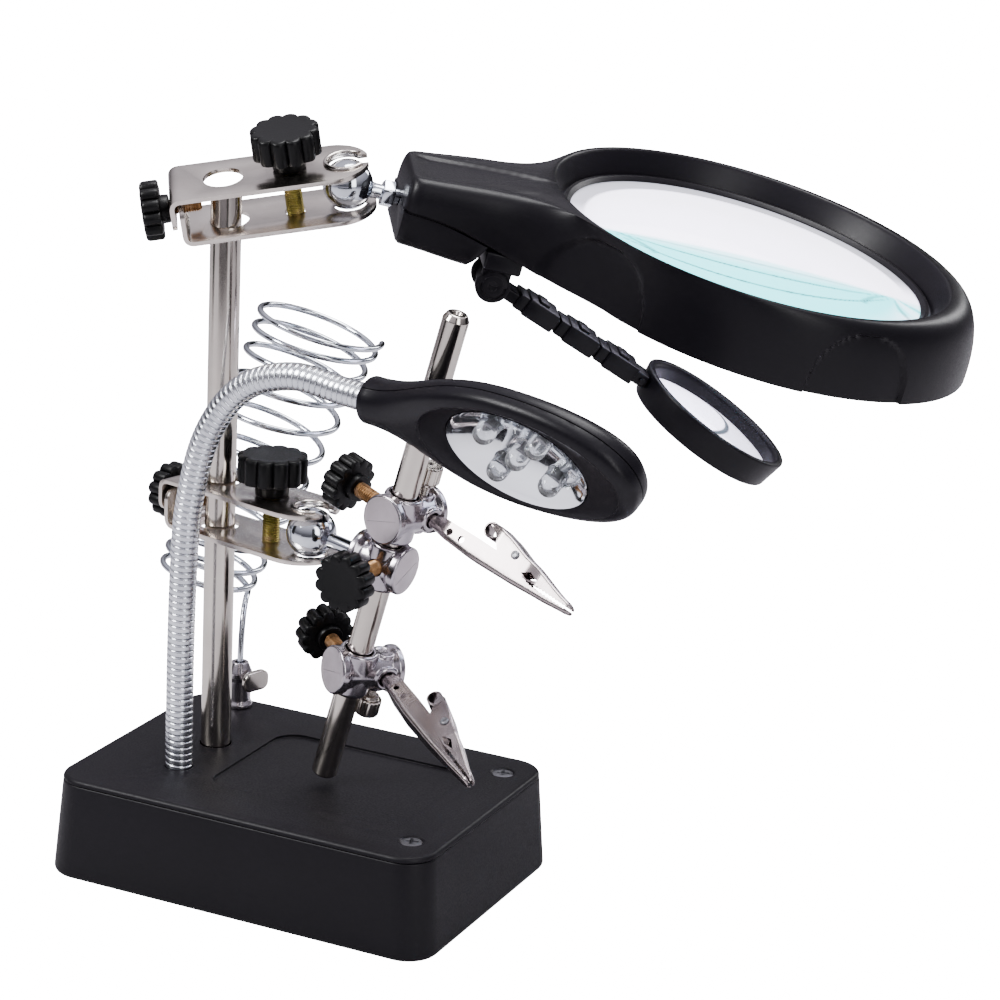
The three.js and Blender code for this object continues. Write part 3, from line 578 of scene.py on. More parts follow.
BROWN_THREAD = zinc_thread("brown_thread", (0.12, 0.07, 0.035), (0.34, 0.20, 0.10), (0.50, 0.36, 0.24))
STEEL = dark_steel("steel")
RUBBER = foot_rubber("foot_rubber")
MIRROR = reflector_metal("reflector_mirror")
EPOXY = clear_epoxy("led_epoxy")
GLASS_PAINTED_LIGHT = lens_glass("lens_glass", 0.86)
AUX_GLASS_PAINTED_LIGHT = lens_glass("aux_glass", 0.8)


# ------------------------------------------------------------------ base and post

WORLD = Matrix.Identity(4)
LID_HIGH = extent("base_lid", WORLD)[1]
TRAY_HIGH = extent("base_tray", WORLD)[1]
POST_LOW, POST_HIGH = extent("main_post", WORLD)
POST = Vector(((POST_LOW.x + POST_HIGH.x) / 2, (POST_LOW.y + POST_HIGH.y) / 2, 0))
POST_RADIUS = (POST_HIGH.x - POST_LOW.x) / 2
BASE_CORNER = 8.0
RECESS = {"x": (-16.5, 36), "y": (-19.5, 20), "corner": 6, "depth": 0.7}
HOSE_RADIUS = 3.25
NECK_FOOT = Vector((-27.3, -13.4, LID_HIGH.z))


def frustum_rows(levels, half_low, half_high, z_low, z_high, corner):
    """Rounded rectangles up a box that tapers from half_low to half_high, each level an inset and a z."""
    rows = []
    for inset, z in levels:
        t = min(max((z - z_low) / (z_high - z_low), 0), 1)
        half_x = lerp(half_low[0], half_high[0], t) - inset
        half_y = lerp(half_low[1], half_high[1], t) - inset
        outline = rounded_rectangle(half_x, half_y, max(corner - inset, 0.5), 12)
        rows.append([(x, y, z) for x, y in outline])
    return rows


def build_base():
    seam = TRAY_HIGH.z
    low, high = (TRAY_HIGH.x, TRAY_HIGH.y), (LID_HIGH.x, LID_HIGH.y)
    edge = [(1.6 * (1 - math.sin(a)), 1.6 * (1 - math.cos(a))) for a in arc(0, 90, 6)]
    levels = [(3.5, 0), *edge, (0, seam * 0.5), (0, seam - 0.35)]
    levels += [(0.3, seam - 0.05), (2.4, seam - 0.05), (2.6, seam - 3)]
    tray = skin("tray", frustum_rows(levels, low, high, 0, seam, BASE_CORNER))
    feet = []
    for name in ("foot_front_left", "foot_back_left", "foot_front_right", "foot_back_right"):
        a, b = extent(name, WORLD)
        centre, radius = (a + b) / 2, (b.x - a.x) / 2
        feet.append(shifted(rod("pocket", radius + 0.3, -1, b.z + 0.3), centre.x, centre.y))
        r = radius
        profile = [(0, 0.25), (r * 0.45, 0.25), (r * 0.5, 0), (r * 0.9, 0), (r, 0.25), (r, b.z), (0, b.z)]
        pad = lathe(name + "_pad", profile, 48, 0.12)
        place(shifted(pad, centre.x, centre.y), WORLD, "root", RUBBER, "foot_rubber", name)
    place(chamfer(carve(tray, *feet), 0.15), WORLD, "root", BASE_PLASTIC, "base_plastic", "base_tray")

    top = LID_HIGH.z
    round_over = [(1.1 * (1 - math.cos(a)), top - 1.1 + 1.1 * math.sin(a)) for a in arc(0, 90, 6)]
    levels = [(0.25, seam + 0.03), (0, seam + 0.18), *round_over]
    lid = skin("lid", frustum_rows(levels, high, high, 0, top, BASE_CORNER))
    half = ((RECESS["x"][1] - RECESS["x"][0]) / 2, (RECESS["y"][1] - RECESS["y"][0]) / 2)
    centre = (sum(RECESS["x"]) / 2, sum(RECESS["y"]) / 2)
    floor = top - RECESS["depth"]
    well = rounded_rectangle(half[0], half[1], RECESS["corner"], 10, centre)
    cutters = [
        prism("recess", well, floor, top + 4, 0.3),
        shifted(rod("post_hole", POST_RADIUS + 0.25, seam - 2, top + 2, 48), POST.x, POST.y),
        shifted(rod("hose_hole", HOSE_RADIUS + 0.2, seam - 2, top + 2, 48), NECK_FOOT.x, NECK_FOOT.y),
    ]
    for name in ("lid_screw_front", "lid_screw_back"):
        a, b = extent(name, WORLD)
        x, y, r = (a.x + b.x) / 2, (a.y + b.y) / 2, (b.x - a.x) / 2
        dip = [(0, top - 1.4), (r * 0.6, top - 1.3), (r + 0.5, top + 0.05), (r + 0.5, top + 1), (0, top + 1)]
        cup = lathe("cup", dip, 48)
        cutters.append(shifted(cup, x, y))
        build_lid_screw(name, x, y, r, top)
    lid = chamfer(carve(lid, *cutters), 0.22, 3, 40)
    place(lid, WORLD, "root", BASE_PLASTIC, "base_plastic", "base_lid")

    a, b = extent("ballast_plate", WORLD)
    plate = block("ballast", a, b, 1.2, 3)
    place(plate, WORLD, "root", STEEL, "dark_steel", "ballast_plate")


def build_lid_screw(name, x, y, r, top):
    profile = [
        (0, top - 5), (1.3, top - 5), (1.3, top - 1.3), (r, top - 0.3), (r * 0.7, top - 0.12), (0, top - 0.05),
    ]
    head = lathe("head", profile, 48, 0.1)
    wing = [(-1.7, -0.32), (-1.2, -0.42), (1.2, -0.42), (1.7, -0.32)]
    wing += [(-x, -y) for x, y in wing]
    slots = [turned(prism("slot", wing, top - 0.95, top + 1), turn, "Z") for turn in (20, 110)]
    screw = chamfer(carve(head, *slots), 0.06, 2, 40)
    place(shifted(screw, x, y), WORLD, "root", STEEL, "dark_steel", name)


def build_post():
    r = POST_RADIUS
    top = POST_HIGH.z
    profile = [
        (0, POST_LOW.z), (r, POST_LOW.z), (r, top - 0.7), (r - 0.7, top), (1.5, top), (1.1, top - 0.5),
        (0, top - 1.2),
    ]
    post = lathe("post", profile, 96, 0.25)
    place(shifted(post, POST.x, POST.y), WORLD, "root", NICKEL, "nickel", "main_post")


# ------------------------------------------------------------------ knobs and screws


def threaded(radius, length, pitch=0.6, depth=0.24, sides=40):
    """A screw along +Z from 0 to length, with a helical thread."""
    def rule(s, a):
        phase = (s / pitch + a / TAU) % 1.0
        ridge = smooth_step(0.05, 0.85, 1 - abs(2 * phase - 1))
        ends = min(1.0, s / 0.6, (length - s) / 0.6)
        return radius - depth * (1 - ridge * max(ends, 0)) - 0.3 * (1 - max(min(ends, 1), 0))
    steps = max(int(length / pitch * 12), 8)
    path = [(0, 0, length * k / steps) for k in range(steps + 1)]
    return sweep("screw", path, rule, sides)


def lobed(radius, z, lobes, depth, sides, turn=0.0):
    points = []
    for i in range(sides):
        a = TAU * i / sides
        scallop = abs(math.cos(lobes * a / 2)) ** 0.7
        r = radius - depth * (1 - scallop)
        points.append((r * math.cos(a + turn), r * math.sin(a + turn), z))
    return points


KNOBS = {
    "set": {"hub": 2.0, "screw": 1.6, "thread": BROWN_THREAD},
    "pinch": {"hub": 3.5, "screw": 2.1, "thread": OLIVE_THREAD},
    "block": {"hub": 1.5, "screw": 1.9, "thread": BROWN_THREAD},
}
LOBES = 12


def build_knob(node, joint, body, kind):
    """A lobed knob on its joint's axis, with its screw as a piece of its own."""
    z = joint_axis(joint)
    local = axes(joint_point(joint), x=z.orthogonal(), z=z)
    low, high = extent(node, local)
    radius, height = high.x, high.z
    hub_top = KNOBS[kind]["hub"]
    sides = LOBES * 24
    depth = 1.15
    hub = radius * 0.47
    rows = [ring(r, level, sides) for r, level in (
        (hub * 0.55, 0.02), (hub * 0.96, 0.02), (hub, 0.25), (hub * 1.02, hub_top - 0.1),
    )]
    for shrink, level, lobe in (
        (radius * 0.30, hub_top, 0.2), (0.55, hub_top, 0.9), (0.15, hub_top + 0.15, 1.0),
        (0.0, hub_top + 0.6, 1.0), (0.0, height - 1.0, 1.0), (0.12, height - 0.5, 1.0),
        (0.45, height - 0.16, 0.95), (1.0, height - 0.02, 0.8), (1.6, height, 0.45),
        (2.2, height - 0.05, 0.1),
    ):
        rows.append(lobed(radius - shrink, level, LOBES, depth * lobe, sides))
    for share, level in ((0.55, -0.1), (0.2, -0.16), (0.0002, -0.18)):
        rows.append(ring(radius * share, height + level, sides))
    head = skin(node + "_head", rows)
    place(head, local, body, KNOB_PLASTIC, "knob_plastic", node, angle=50)
    screw = shifted(threaded(KNOBS[kind]["screw"], -low.z + 0.4), z=low.z)
    screw.name = node + "_screw"
    place(screw, local, body, KNOBS[kind]["thread"], "dark_steel", angle=60)


# ------------------------------------------------------------------ clamps

PLATE = 1.1
POST_HOLE = 4.75
SCREW_HOLE = 2.5
BALL_SEAT = 4.0
NOSE = 9.2
TIP_SLOT = 2.3


def clamp_frame(prefix):
    """Origin on the screw's axis, midway between the plates; +X to the ball, +Z to the pinch knob."""
    z = joint_axis(prefix + "_pinch_knob_turn")
    x = -joint_axis(prefix + "_set_knob_turn")
    pinch = joint_point(prefix + "_pinch_knob_turn")
    side = joint_point(prefix + "_set_knob_turn")
    return axes(pinch - z * (pinch - side).dot(z), x=x, z=z)


def bent_strip(low, high, flange_up):
    """A strip with one end bent into a flange: its side profile drawn across the plate's width."""
    sign = 1 if flange_up else -1
    z_flat = (low.z if flange_up else high.z) + sign * PLATE / 2
    z_far = high.z if flange_up else low.z
    corner = (low.x + PLATE / 2, z_flat, 0)
    spine = soften([(low.x + PLATE / 2, z_far, 0), corner, (high.x, z_flat, 0)], 2.2, 8)
    outer, inner = [], []
    for i, p in enumerate(spine):
        t = (spine[min(i + 1, len(spine) - 1)] - spine[max(i - 1, 0)]).normalized()
        n = Vector((-t.y, t.x, 0)) * PLATE / 2
        outer.append(p + n)
        inner.append(p - n)
    loop = outer + inner[::-1]
    return skin("strip", [[(p.x, y, p.y) for p in loop] for y in (low.y, high.y)])


def build_plate(prefix, which, local, ball, post_at):
    node = f"{prefix}_clamp_{which}_plate"
    low, high = extent(node, local)
    top = which == "top"
    half = high.y
    strip = bent_strip(low, high, not top)
    # Seen from above the nose is round, and seen along the plate the flange's free corners are.
    bend = high.x - NOSE
    nose = [(bend + NOSE * math.sin(a), -half * math.cos(a)) for a in arc(0, 180, 32)]
    outline = [(low.x - 1, -half), *nose, (low.x - 1, half)]
    flange = prism("flange", rounded_rectangle((high.z - low.z) / 2 + 2, half, 2.6, 8), -60, 60)
    turned(flange, 90, "Y")
    shifted(flange, z=(high.z + low.z) / 2 + (2 if top else -2))
    boolean(strip, "INTERSECT", [prism("nose", outline, low.z - 1, high.z + 1), flange])

    tools = [
        shifted(rod("post_hole", POST_HOLE, -12, 12, 48), post_at),
        rod("screw_hole", SCREW_HOLE, -12, 12, 32),
        shifted(rod("seat", BALL_SEAT, -12, 12, 48), ball),
        turned(rod("set_hole", 2.0, -40, -20, 32), 90, "Y"),
    ]
    if top:
        tools.append(block("slot", (ball, -TIP_SLOT, 0), (ball + 12, TIP_SLOT, 12)))
    plate = chamfer(carve(strip, *tools), 0.2, 3, 40)
    place(plate, local, prefix + "_clamp", PLATE_NICKEL, "nickel", node)

    # The seat's edge is drawn up into a lip, left open towards the tip on the slotted plate.
    level = high.z + 0.05 if top else low.z - 0.05
    opening = 38 if top else 0
    path = []
    for a in arc(opening, 360 - opening, 60):
        curl = 0.5 * smooth_step(0.75, 0.95, math.cos(a)) if top else 0
        path.append((ball + 4.55 * math.cos(a), 4.55 * math.sin(a), level + curl))
    lip = sweep(f"{node}_lip", path, 0.6, 14)
    place(lip, local, prefix + "_clamp", PLATE_NICKEL, "nickel", angle=60)


def build_clamp(prefix, ball_joint):
    local = clamp_frame(prefix)
    ball = (local.inverted() @ joint_point(ball_joint)).x
    inverse = local.inverted()
    down = inverse.to_3x3() @ Vector((0, 0, 1))
    foot = inverse @ Vector((POST.x, POST.y, local.translation.z))
    post_at = (foot - down * (foot.z / down.z)).x
    for which in ("top", "bottom"):
        build_plate(prefix, which, local, ball, post_at)
    build_knob(f"{prefix}_clamp_pinch_knob", f"{prefix}_pinch_knob_turn", f"{prefix}_pinch_knob", "pinch")
    build_knob(f"{prefix}_clamp_set_knob", f"{prefix}_set_knob_turn", f"{prefix}_set_knob", "set")


def build_stud(node, local, body, collar=None):
    """A ball on a stem along +X, with a hexagonal collar where it enters the next piece."""
    low, high = extent(node, local)
    r = -low.x
    stem = 1.8
    profile = [(r * math.sin(a), -r * math.cos(a)) for a in arc(0, 180 - 19, 40)]
    neck = -r * math.cos(math.radians(161))
    profile += [(stem, neck + 1.0), (stem, high.x), (0, high.x)]
    stud = turned(lathe(node + "_ball", profile, 96), 90, "Y")
    if collar:
        hexagon = [(3.3 * math.cos(a), 3.3 * math.sin(a)) for a in arc(0, 300, 5)]
        nut = turned(prism("nut", hexagon, collar[0], collar[1], 0.35, 3), 90, "Y")
        gather(stud, chamfer(nut, 0.15, 2, 40))
    place(stud, local, body, CHROME, "chrome", node, angle=40)


# ------------------------------------------------------------------ magnifier head

HEAD = axes(joint_point("magnifier_tilt"), x=joint_axis("magnifier_roll"), y=-joint_axis("magnifier_tilt"))
LENS_LOW, LENS_HIGH = extent("main_lens", HEAD)
HOUSING_LOW, HOUSING_HIGH = extent("magnifier_housing", HEAD)
RIM = {"x": (LENS_LOW.x + LENS_HIGH.x) / 2, "radius": 50.0, "z": HOUSING_HIGH.z}
FOOT_RING = {"x": 104.5, "radius": HOUSING_HIGH.y, "z": HOUSING_LOW.z}
SEAT = {"radius": (LENS_HIGH.x - LENS_LOW.x) / 2 + 0.6, "opening": 44.0, "z": LENS_LOW.z - 0.1}
NECK = {"start": HOUSING_LOW.x, "half": 13.0, "bend": 34.0, "bend_half": 15.5}
ARCHES = (-148, -75, 0, 75, 148)
RING_STEPS = 540
RING_FROM = 62


def head_outline(start, half, bend, bend_half, centre, radius, corner):
    """The housing seen from above: a rounded neck that flares into the ring. Starts at the neck's end."""
    join_at = 225
    quarter = [(start, 0), (start, -half), (bend, -bend_half)]
    neck = soften([(x, y, 0) for x, y in quarter], [0, corner, 0], 10)
    path = []
    for a, b, steps in ((neck[0], neck[1], 12), (neck[-2], neck[-1], 26)):
        path.append([a.lerp(b, k / steps) for k in range(steps)])
    side = path[0] + neck[1:-2] + path[1]
    join = math.radians(join_at)
    end = Vector((centre + radius * math.cos(join), radius * math.sin(join), 0))
    heading = Vector((1, -1, 0)).normalized()
    leave = (neck[-1] - neck[-2]).normalized()
    gap = (end - neck[-1]).length * 0.42
    p0, p1, p2, p3 = neck[-1], neck[-1] + leave * gap, end - heading * gap, end
    for k in range(40):
        t = k / 40
        side.append(p0 * (1 - t) ** 3 + p1 * 3 * t * (1 - t) ** 2 + p2 * 3 * t * t * (1 - t) + p3 * t ** 3)
    count = RING_STEPS // 2
    for k in range(count + 1):
        a = math.radians(join_at + (360 - join_at) * k / count)
        side.append(Vector((centre + radius * math.cos(a), radius * math.sin(a), 0)))
    mirrored = [Vector((p.x, -p.y, 0)) for p in side[-2:0:-1]]
    return side + mirrored


def head_top(x):
    """Height of the housing's flat top at x: the neck rises a little, then climbs to the ring's rim."""
    neck = lerp(8.2, 10.8, smooth_step(NECK["start"] - 8, NECK["bend"] + 6, x))
    if x < NECK["bend"]:
        return neck
    return lerp(neck, RIM["z"], smooth_step(NECK["bend"], 60, x))


def head_seam(x):
    """Height of the housing's lower edge at x, which is the seam with the neck's cover."""
    return lerp(0.6, FOOT_RING["z"], smooth_step(17, 54, x))


def arch_depth(x, y, share):
    """How far the arched panels round the ring are sunk, for a point at a share of the side's height."""
    angle = math.degrees(math.atan2(y, x - FOOT_RING["x"]))
    deepest = 0.0
    for centre in ARCHES:
        off = abs((angle - centre + 180) % 360 - 180) / 14.5
        inside = 1 - off ** 2.4 - (max(share, 0) / 0.86) ** 2.4
        deepest = max(deepest, smooth_step(0, 0.09, inside))
    return 0.95 * deepest


def crease(x, y):
    """The shallow V pressed into the neck's top."""
    edge = 8.5 * (1 - smooth_step(16, 52, x))
    inside = smooth_step(0, 1.6, edge - abs(y) + 0.4)
    return 0.75 * (inside * smooth_step(14, 17, x) * (1 - smooth_step(46, 52, x)))


def build_housing():
    low = head_outline(
        NECK["start"], NECK["half"], NECK["bend"], NECK["bend_half"],
        FOOT_RING["x"], FOOT_RING["radius"], 3.2)
    high = head_outline(
        NECK["start"] + 1.0, NECK["half"] - 3.4, NECK["bend"], NECK["bend_half"] - 4.4,
        RIM["x"], RIM["radius"] + 0.7, 2.6)
    centre = Vector((RIM["x"], 0, 0))
    seat, opening, floor = SEAT["radius"], SEAT["opening"], SEAT["z"]
    top, lip = RIM["z"], 50.2

    def circle(radius, z):
        return [centre + (p - centre).normalized() * radius + Vector((0, 0, z)) for p in high]

    def top_at(p):
        return head_top(p.x) if p.x < RING_FROM else top

    # Up the inside of the opening, over the lens's seat and out to the rim.
    rows = [circle(r, z) for r, z in (
        (opening, FOOT_RING["z"] + 0.4), (opening, floor - 0.3), (opening + 0.3, floor), (seat - 0.4, floor),
        (seat, floor + 0.4), (seat + 0.5, floor + 2), (48.6, top - 2.2), (49.3, top - 0.9), (49.6, top - 0.35),
        (49.9, top - 0.08), (lip, top),
    )]
    # The flat top, from the rim to the outline.
    flat_steps = 14
    for k in range(1, flat_steps + 1):
        t = k / flat_steps
        row = []
        for s in high:
            rim = centre + (s - centre).normalized() * lip
            p = rim.lerp(s, t)
            z = lerp(top, top_at(s), smooth_step(0, 1, t))
            row.append(Vector((p.x, p.y, z - crease(p.x, p.y))))
        rows.append(row)
    # The side: a quarter round that ends above a straight wall on the neck and fills the ring's height.
    side_steps = 26
    for k in range(1, side_steps + 1):
        t = k / side_steps
        row = []
        for s, b in zip(high, low):
            z_high, z_low = top_at(s), head_seam(b.x)
            ringness = smooth_step(20, 64, b.x)
            drop = lerp(6.5, (z_high - z_low), ringness)
            round_share = lerp(0.6, 1.0, ringness)
            angle = math.radians(90 * min(t / round_share, 1))
            out = math.sin(angle) ** lerp(1.0, 0.82, ringness)
            z = z_high - (1 - math.cos(angle)) * drop
            if ringness < 0.999:
                rest = max(0.0, t - round_share) / 0.4
                z -= min(rest, 1) * max(z_high - z_low - drop, 0)
            p = s.lerp(b, out)
            share = (z - z_low) / (z_high - z_low)
            inward = (centre - p).normalized() * arch_depth(p.x, p.y, share)
            row.append(Vector((p.x + inward.x, p.y + inward.y, z)))
        rows.append(row)
    last = rows[-1]
    for inset, drop in ((0.0, 0.0), (0.25, 0.3), (0.9, 0.45)):
        row = []
        for p in last:
            lift = Vector((0, 0, head_seam(p.x) - p.z - drop + 0.45))
            row.append(p + (centre - p).normalized() * inset + lift)
        rows.append(row)
    # Underneath, back to the opening.
    edge = rows[-1]
    under_steps = 6
    for k in range(1, under_steps + 1):
        t = k / under_steps
        row = []
        for p, s in zip(edge, high):
            goal = centre + (s - centre).normalized() * (opening + 0.5)
            q = p.lerp(goal, t)
            z = lerp(p.z, FOOT_RING["z"] + 0.02, t) if k == under_steps else head_seam(q.x)
            row.append(Vector((q.x, q.y, z)))
        rows.append(row)
    rows.append(rows[0])
    shell = skin("housing", rows, capped=False)
    place(shell, HEAD, "magnifier_head", HEAD_PLASTIC, "head_plastic", "magnifier_housing", angle=32)


def build_neck_cover():
    """The lower half of the neck, up to the seam, with a slanting end ahead of the hinge bracket."""
    start, half = NECK["start"] + 0.05, NECK["half"] - 0.05
    stations = 22
    rows = []
    for i in range(stations + 1):
        t = i / stations
        x_top, x_low = lerp(start, 33.6, t), lerp(start, 30.4, t)
        wide = lerp(half, NECK["bend_half"], smooth_step(start, 34, x_top)) - 0.05
        top = head_seam(x_top) - 0.22
        bottom = lerp(-7.8, -8.4, t)
        r = 2.6
        if i in (0, stations):
            wide -= 0.5
            bottom += 0.5
        row = [(x_top, -wide, top)]
        for a in arc(180, 270, 8):
            z = bottom + r + r * math.sin(a)
            x = lerp(x_low, x_top, (z - bottom) / (top - bottom))
            row.append((x, -wide + r + r * math.cos(a), z))
        for p in list(row)[::-1]:
            row.append((p[0], -p[1], p[2]))
        rows.append(row)
    cover = skin("cover", rows)
    bore = turned(rod("bore", 2.3, 5, 17.4, 40), 90, "Y")
    cover = chamfer(carve(cover, bore), 0.35, 3, 50)
    place(cover, HEAD, "magnifier_head", HEAD_PLASTIC, "head_plastic", "neck_bottom_cover", angle=40)


def lens_painted_reflections(x, y, radius):
    """Painted reflections in the main lens: a cyan tint, dark lines and a grey far band, drawn as arcs of the
    lower surface through two foci, with painted shade along the rim.
    """
    reach, level = 0.82 * radius, -0.15 * radius
    a, b = Vector((-reach - x, level - y)), Vector((reach - x, level - y))
    angle = math.degrees(math.atan2(abs(a.x * b.y - a.y * b.x), a.dot(b)))
    below = smooth_step(0.5, -1.5, y - level)
    tint = below * (1 - 0.4 * smooth_step(150, 178, angle)) * smooth_step(60, 110, angle)
    line = 0.0
    for at, width, dark in ((128, 1.3, 0.8), (151, 1.5, 0.8), (168, 2.2, 0.35)):
        line = max(line, below * (1 - smooth_step(width * 0.4, width, abs(angle - at))) * dark)
    # Round each focus, fans of painted cyan reflection with dark lines.
    for side in (-1, 1):
        dx, dy = (x - side * reach) * side, y - level
        spread = math.degrees(math.atan2(-dy, dx))
        near = math.hypot(dx, dy)
        if near < 0.34 * radius and -25 < spread < 175:
            fan = 0.5 + 0.5 * math.cos(math.radians(spread * 7 + near * 9))
            fade = 1 - smooth_step(0.2 * radius, 0.34 * radius, near)
            tint = max(tint, (0.45 + 0.55 * fan) * fade * below)
            line = max(line, 0.45 * smooth_step(0.93, 0.99, fan) * below)
    # The grey band by the far edge is a painted reflection, and the dark line at the rim is painted shade.
    r = math.hypot(x, y)
    outside = (math.hypot(x, y + 0.075 * radius) - 0.905 * radius) / radius
    band = smooth_step(0.0, 0.025, outside) * smooth_step(-0.1, 0.25, y / radius)
    rim = smooth_step(0.975, 0.995, r / radius)
    return {"tint": tint, "line": max(line, rim * 0.3), "band": band}


def aux_painted_reflections(x, y, radius):
    """The smaller lens: a dark crescent and a bright one beside it, both painted reflections."""
    crescent = math.hypot(x + 0.62 * radius, y - 0.1 * radius) / radius
    line = 1 - smooth_step(0.02, 0.055, abs(crescent - 0.86))
    line *= smooth_step(0.95, 0.7, abs(y / radius))
    band = smooth_step(0.80, 0.86, crescent) * 0.5
    return {"tint": 0.0, "line": line * 0.9, "band": band}


def build_lens(node, local, body, glass, painted_light_rule, edge, crown):
    """A crowned lens whose painted reflections and painted shade are stored on its points for the shader."""
    low, high = extent(node, local)
    radius = (high.x - low.x) / 2
    centre = Vector(((low.x + high.x) / 2, (low.y + high.y) / 2, 0))
    sides, flat_rings, crown_rings = 320, 20, 90
    thick = high.z - low.z - crown
    rows = [ring(radius * k / flat_rings, low.z, sides) for k in range(1, flat_rings)]
    rows += [ring(r, z, sides) for r, z in (
        (radius - edge, low.z), (radius, low.z + edge),
        (radius, low.z + thick - edge), (radius - edge, low.z + thick),
    )]
    for k in range(crown_rings):
        share = 1 - (k + 1) / (crown_rings + 0.02)
        rows.append(ring((radius - edge) * share, low.z + thick + crown * (1 - share ** 2), sides))
    lens = skin(node + "_glass", rows)
    layers = {mark: lens.data.attributes.new(mark, "FLOAT", "POINT") for mark in LENS_PAINTED_LIGHT}
    for i, v in enumerate(lens.data.vertices):
        # The painted reflections and shade at this point, kept on the upper face only.
        found = painted_light_rule(v.co.x, v.co.y, radius)
        under = v.co.z < low.z + thick * 0.5
        for mark in LENS_PAINTED_LIGHT:
            layers[mark].data[i].value = 0.0 if under else found[mark]
    shifted(lens, *centre)
    place(lens, local, body, glass, "lens", node, angle=40)


def build_head():
    build_stud("magnifier_ball_stud", HEAD, "magnifier_stud", (8.2, 11.2))
    build_housing()
    build_neck_cover()
    build_lens("main_lens", HEAD, "magnifier_head", GLASS_PAINTED_LIGHT, lens_painted_reflections, 0.3, 2.2)
    low, high = extent("lens_retaining_ring", HEAD)
    outer, inner = (high.x - low.x) / 2, SEAT["opening"] + 0.2
    profile = [(inner, low.z), (outer, low.z), (outer, high.z), (inner + 1.1, high.z)]
    keeper = hoop("keeper", profile, 180, 0.15)
    shifted(keeper, RIM["x"])
    place(keeper, HEAD, "magnifier_head", HEAD_PLASTIC, "head_plastic", "lens_retaining_ring")


# ------------------------------------------------------------------ flip-down lens


def build_aux():
    hinge = joint_point("aux_arm_fold")
    pivot = joint_point("aux_lens_tilt")
    across = -joint_axis("aux_arm_fold")
    arm_frame = axes(hinge, x=pivot - hinge, y=across)
    length = (pivot - hinge).length
    bracket_frame = HEAD.copy()
    bracket_frame.translation = hinge

    boss = [
        (0, 0), (4.2, 0), (4.2, 1.5), (3.4, 1.5), (3.3, 1.2), (2.7, 1.2), (2.6, 1.6), (1.2, 1.6), (1.1, 1.3),
        (0, 1.3),
    ]
    saddle = block("saddle", (-3.6, -5.4, 3.6), (5.6, 5.4, 8.2), 0.7, 3)
    parts = [saddle]
    for side in (-1, 1):
        parts.append(shifted(turned(lathe("boss", boss, 64, 0.12), -90 * side, "X"), y=side * 3.5))
        parts.append(shifted(block("cheek", (-3.4, 0, 0), (3.6, 1.5, 5), 0.3), y=3.5 if side > 0 else -5.0))
    parts.append(turned(rod("pin", 1.5, -4.5, 4.5, 32), 90, "X"))
    bracket = gather(*parts)
    bracket.name = "aux_bracket"
    place(bracket, bracket_frame, "magnifier_head", HEAD_PLASTIC, "head_plastic", "aux_hinge_bracket")

    knuckle = [(1.75, -3.1), (3.3, -3.1), (3.3, 3.1), (1.75, 3.1)]
    parts = [turned(hoop("knuckle", knuckle, 64, 0.25), 90, "X")]
    parts.append(block("spine", (2.4, -3.1, -1.7), (length - 3.8, 3.1, 1.3), 0.4, 3))
    for i in range(3):
        x = 10 + 12 * i
        parts.append(block("step", (x, -4.2, -2.3), (x + 8.6, 4.2, 2.3), 0.35, 2))
        parts.append(block("catch", (x + 2.6, -2.6, 1.8), (x + 5.4, 2.6, 2.9), 0.25, 2))
        parts.append(block("shoulder", (x - 2.6, -3.6, -2.0), (x + 0.6, 3.6, 1.9), 0.25, 2))
    for side in (-1, 1):
        y = 2.55 * side
        parts.append(block("fork", (length - 7, y - 0.75, -1.6), (length + 1.4, y + 0.75, 1.6), 0.4, 3))
    parts.append(shifted(turned(rod("pin", 0.8, -3.9, 3.9, 24, 0.1), 90, "X"), length))
    arm = gather(*parts)
    arm.name = "aux_link"
    place(arm, arm_frame, "aux_arm", HEAD_PLASTIC, "head_plastic", "aux_arm")

    lens_low, lens_high = extent("aux_lens", arm_frame)
    centre_x = (lens_low.x + lens_high.x) / 2
    frame_at = arm_frame @ Matrix.Translation((centre_x, 0, 0))
    ring_low, ring_high = extent("aux_lens_ring", frame_at)
    outer, glass = ring_high.x, (lens_high.x - lens_low.x) / 2
    section = [
        (glass - 1, ring_low.z), (outer - 1.2, ring_low.z), (outer, ring_high.z),
        (glass + 0.9, ring_high.z), (glass + 0.3, ring_high.z - 0.9), (glass + 0.3, -1.55), (glass - 1, -1.55),
    ]
    rim = hoop("rim", section, 180, 0.7)
    lug = [(0.95, -2.2), (1.7, -2.2), (1.7, 2.2), (0.95, 2.2)]
    eye = shifted(turned(hoop("eye", lug, 48, 0.15), 90, "X"), length - centre_x)
    arm_end = block("tongue", (length - centre_x + 1.1, -2.2, -1.5), (-outer + 1.4, 2.2, 1.5), 0.3, 2)
    whole = gather(rim, eye, arm_end)
    whole.name = "aux_rim"
    place(whole, frame_at, "aux_lens", HEAD_PLASTIC, "head_plastic", "aux_lens_ring", angle=40)
    build_lens("aux_lens", frame_at, "aux_lens", AUX_GLASS_PAINTED_LIGHT, aux_painted_reflections, 0.2, 2.6)


# ------------------------------------------------------------------ cross rod, blocks and clips

BLOCK = {"radius": 5.9, "cap": 6.0, "waist": 4.75, "bore": 3.5, "clip_x": -6.6, "clip_bore": 1.95}


def build_rod():
    z = joint_axis("rod_slide")
    local = axes(rod_foot(z), x=z.orthogonal(), z=z)
    high = extent("cross_rod", local)[1]
    r, top = high.x, high.z
    profile = [
        (0, 0.3), (r - 1.3, 0.2), (r - 0.9, 0), (r - 0.5, 0), (r, 0.6), (r, top - 1.5), (r - 0.7, top - 0.2),
        (r - 1, top), (1.2, top), (0.8, top - 0.8), (0, top - 1.2),
    ]
    bar = lathe("rod_bar", profile, 96, 0.15)
    place(bar, local, "rod", NICKEL, "nickel", "cross_rod")


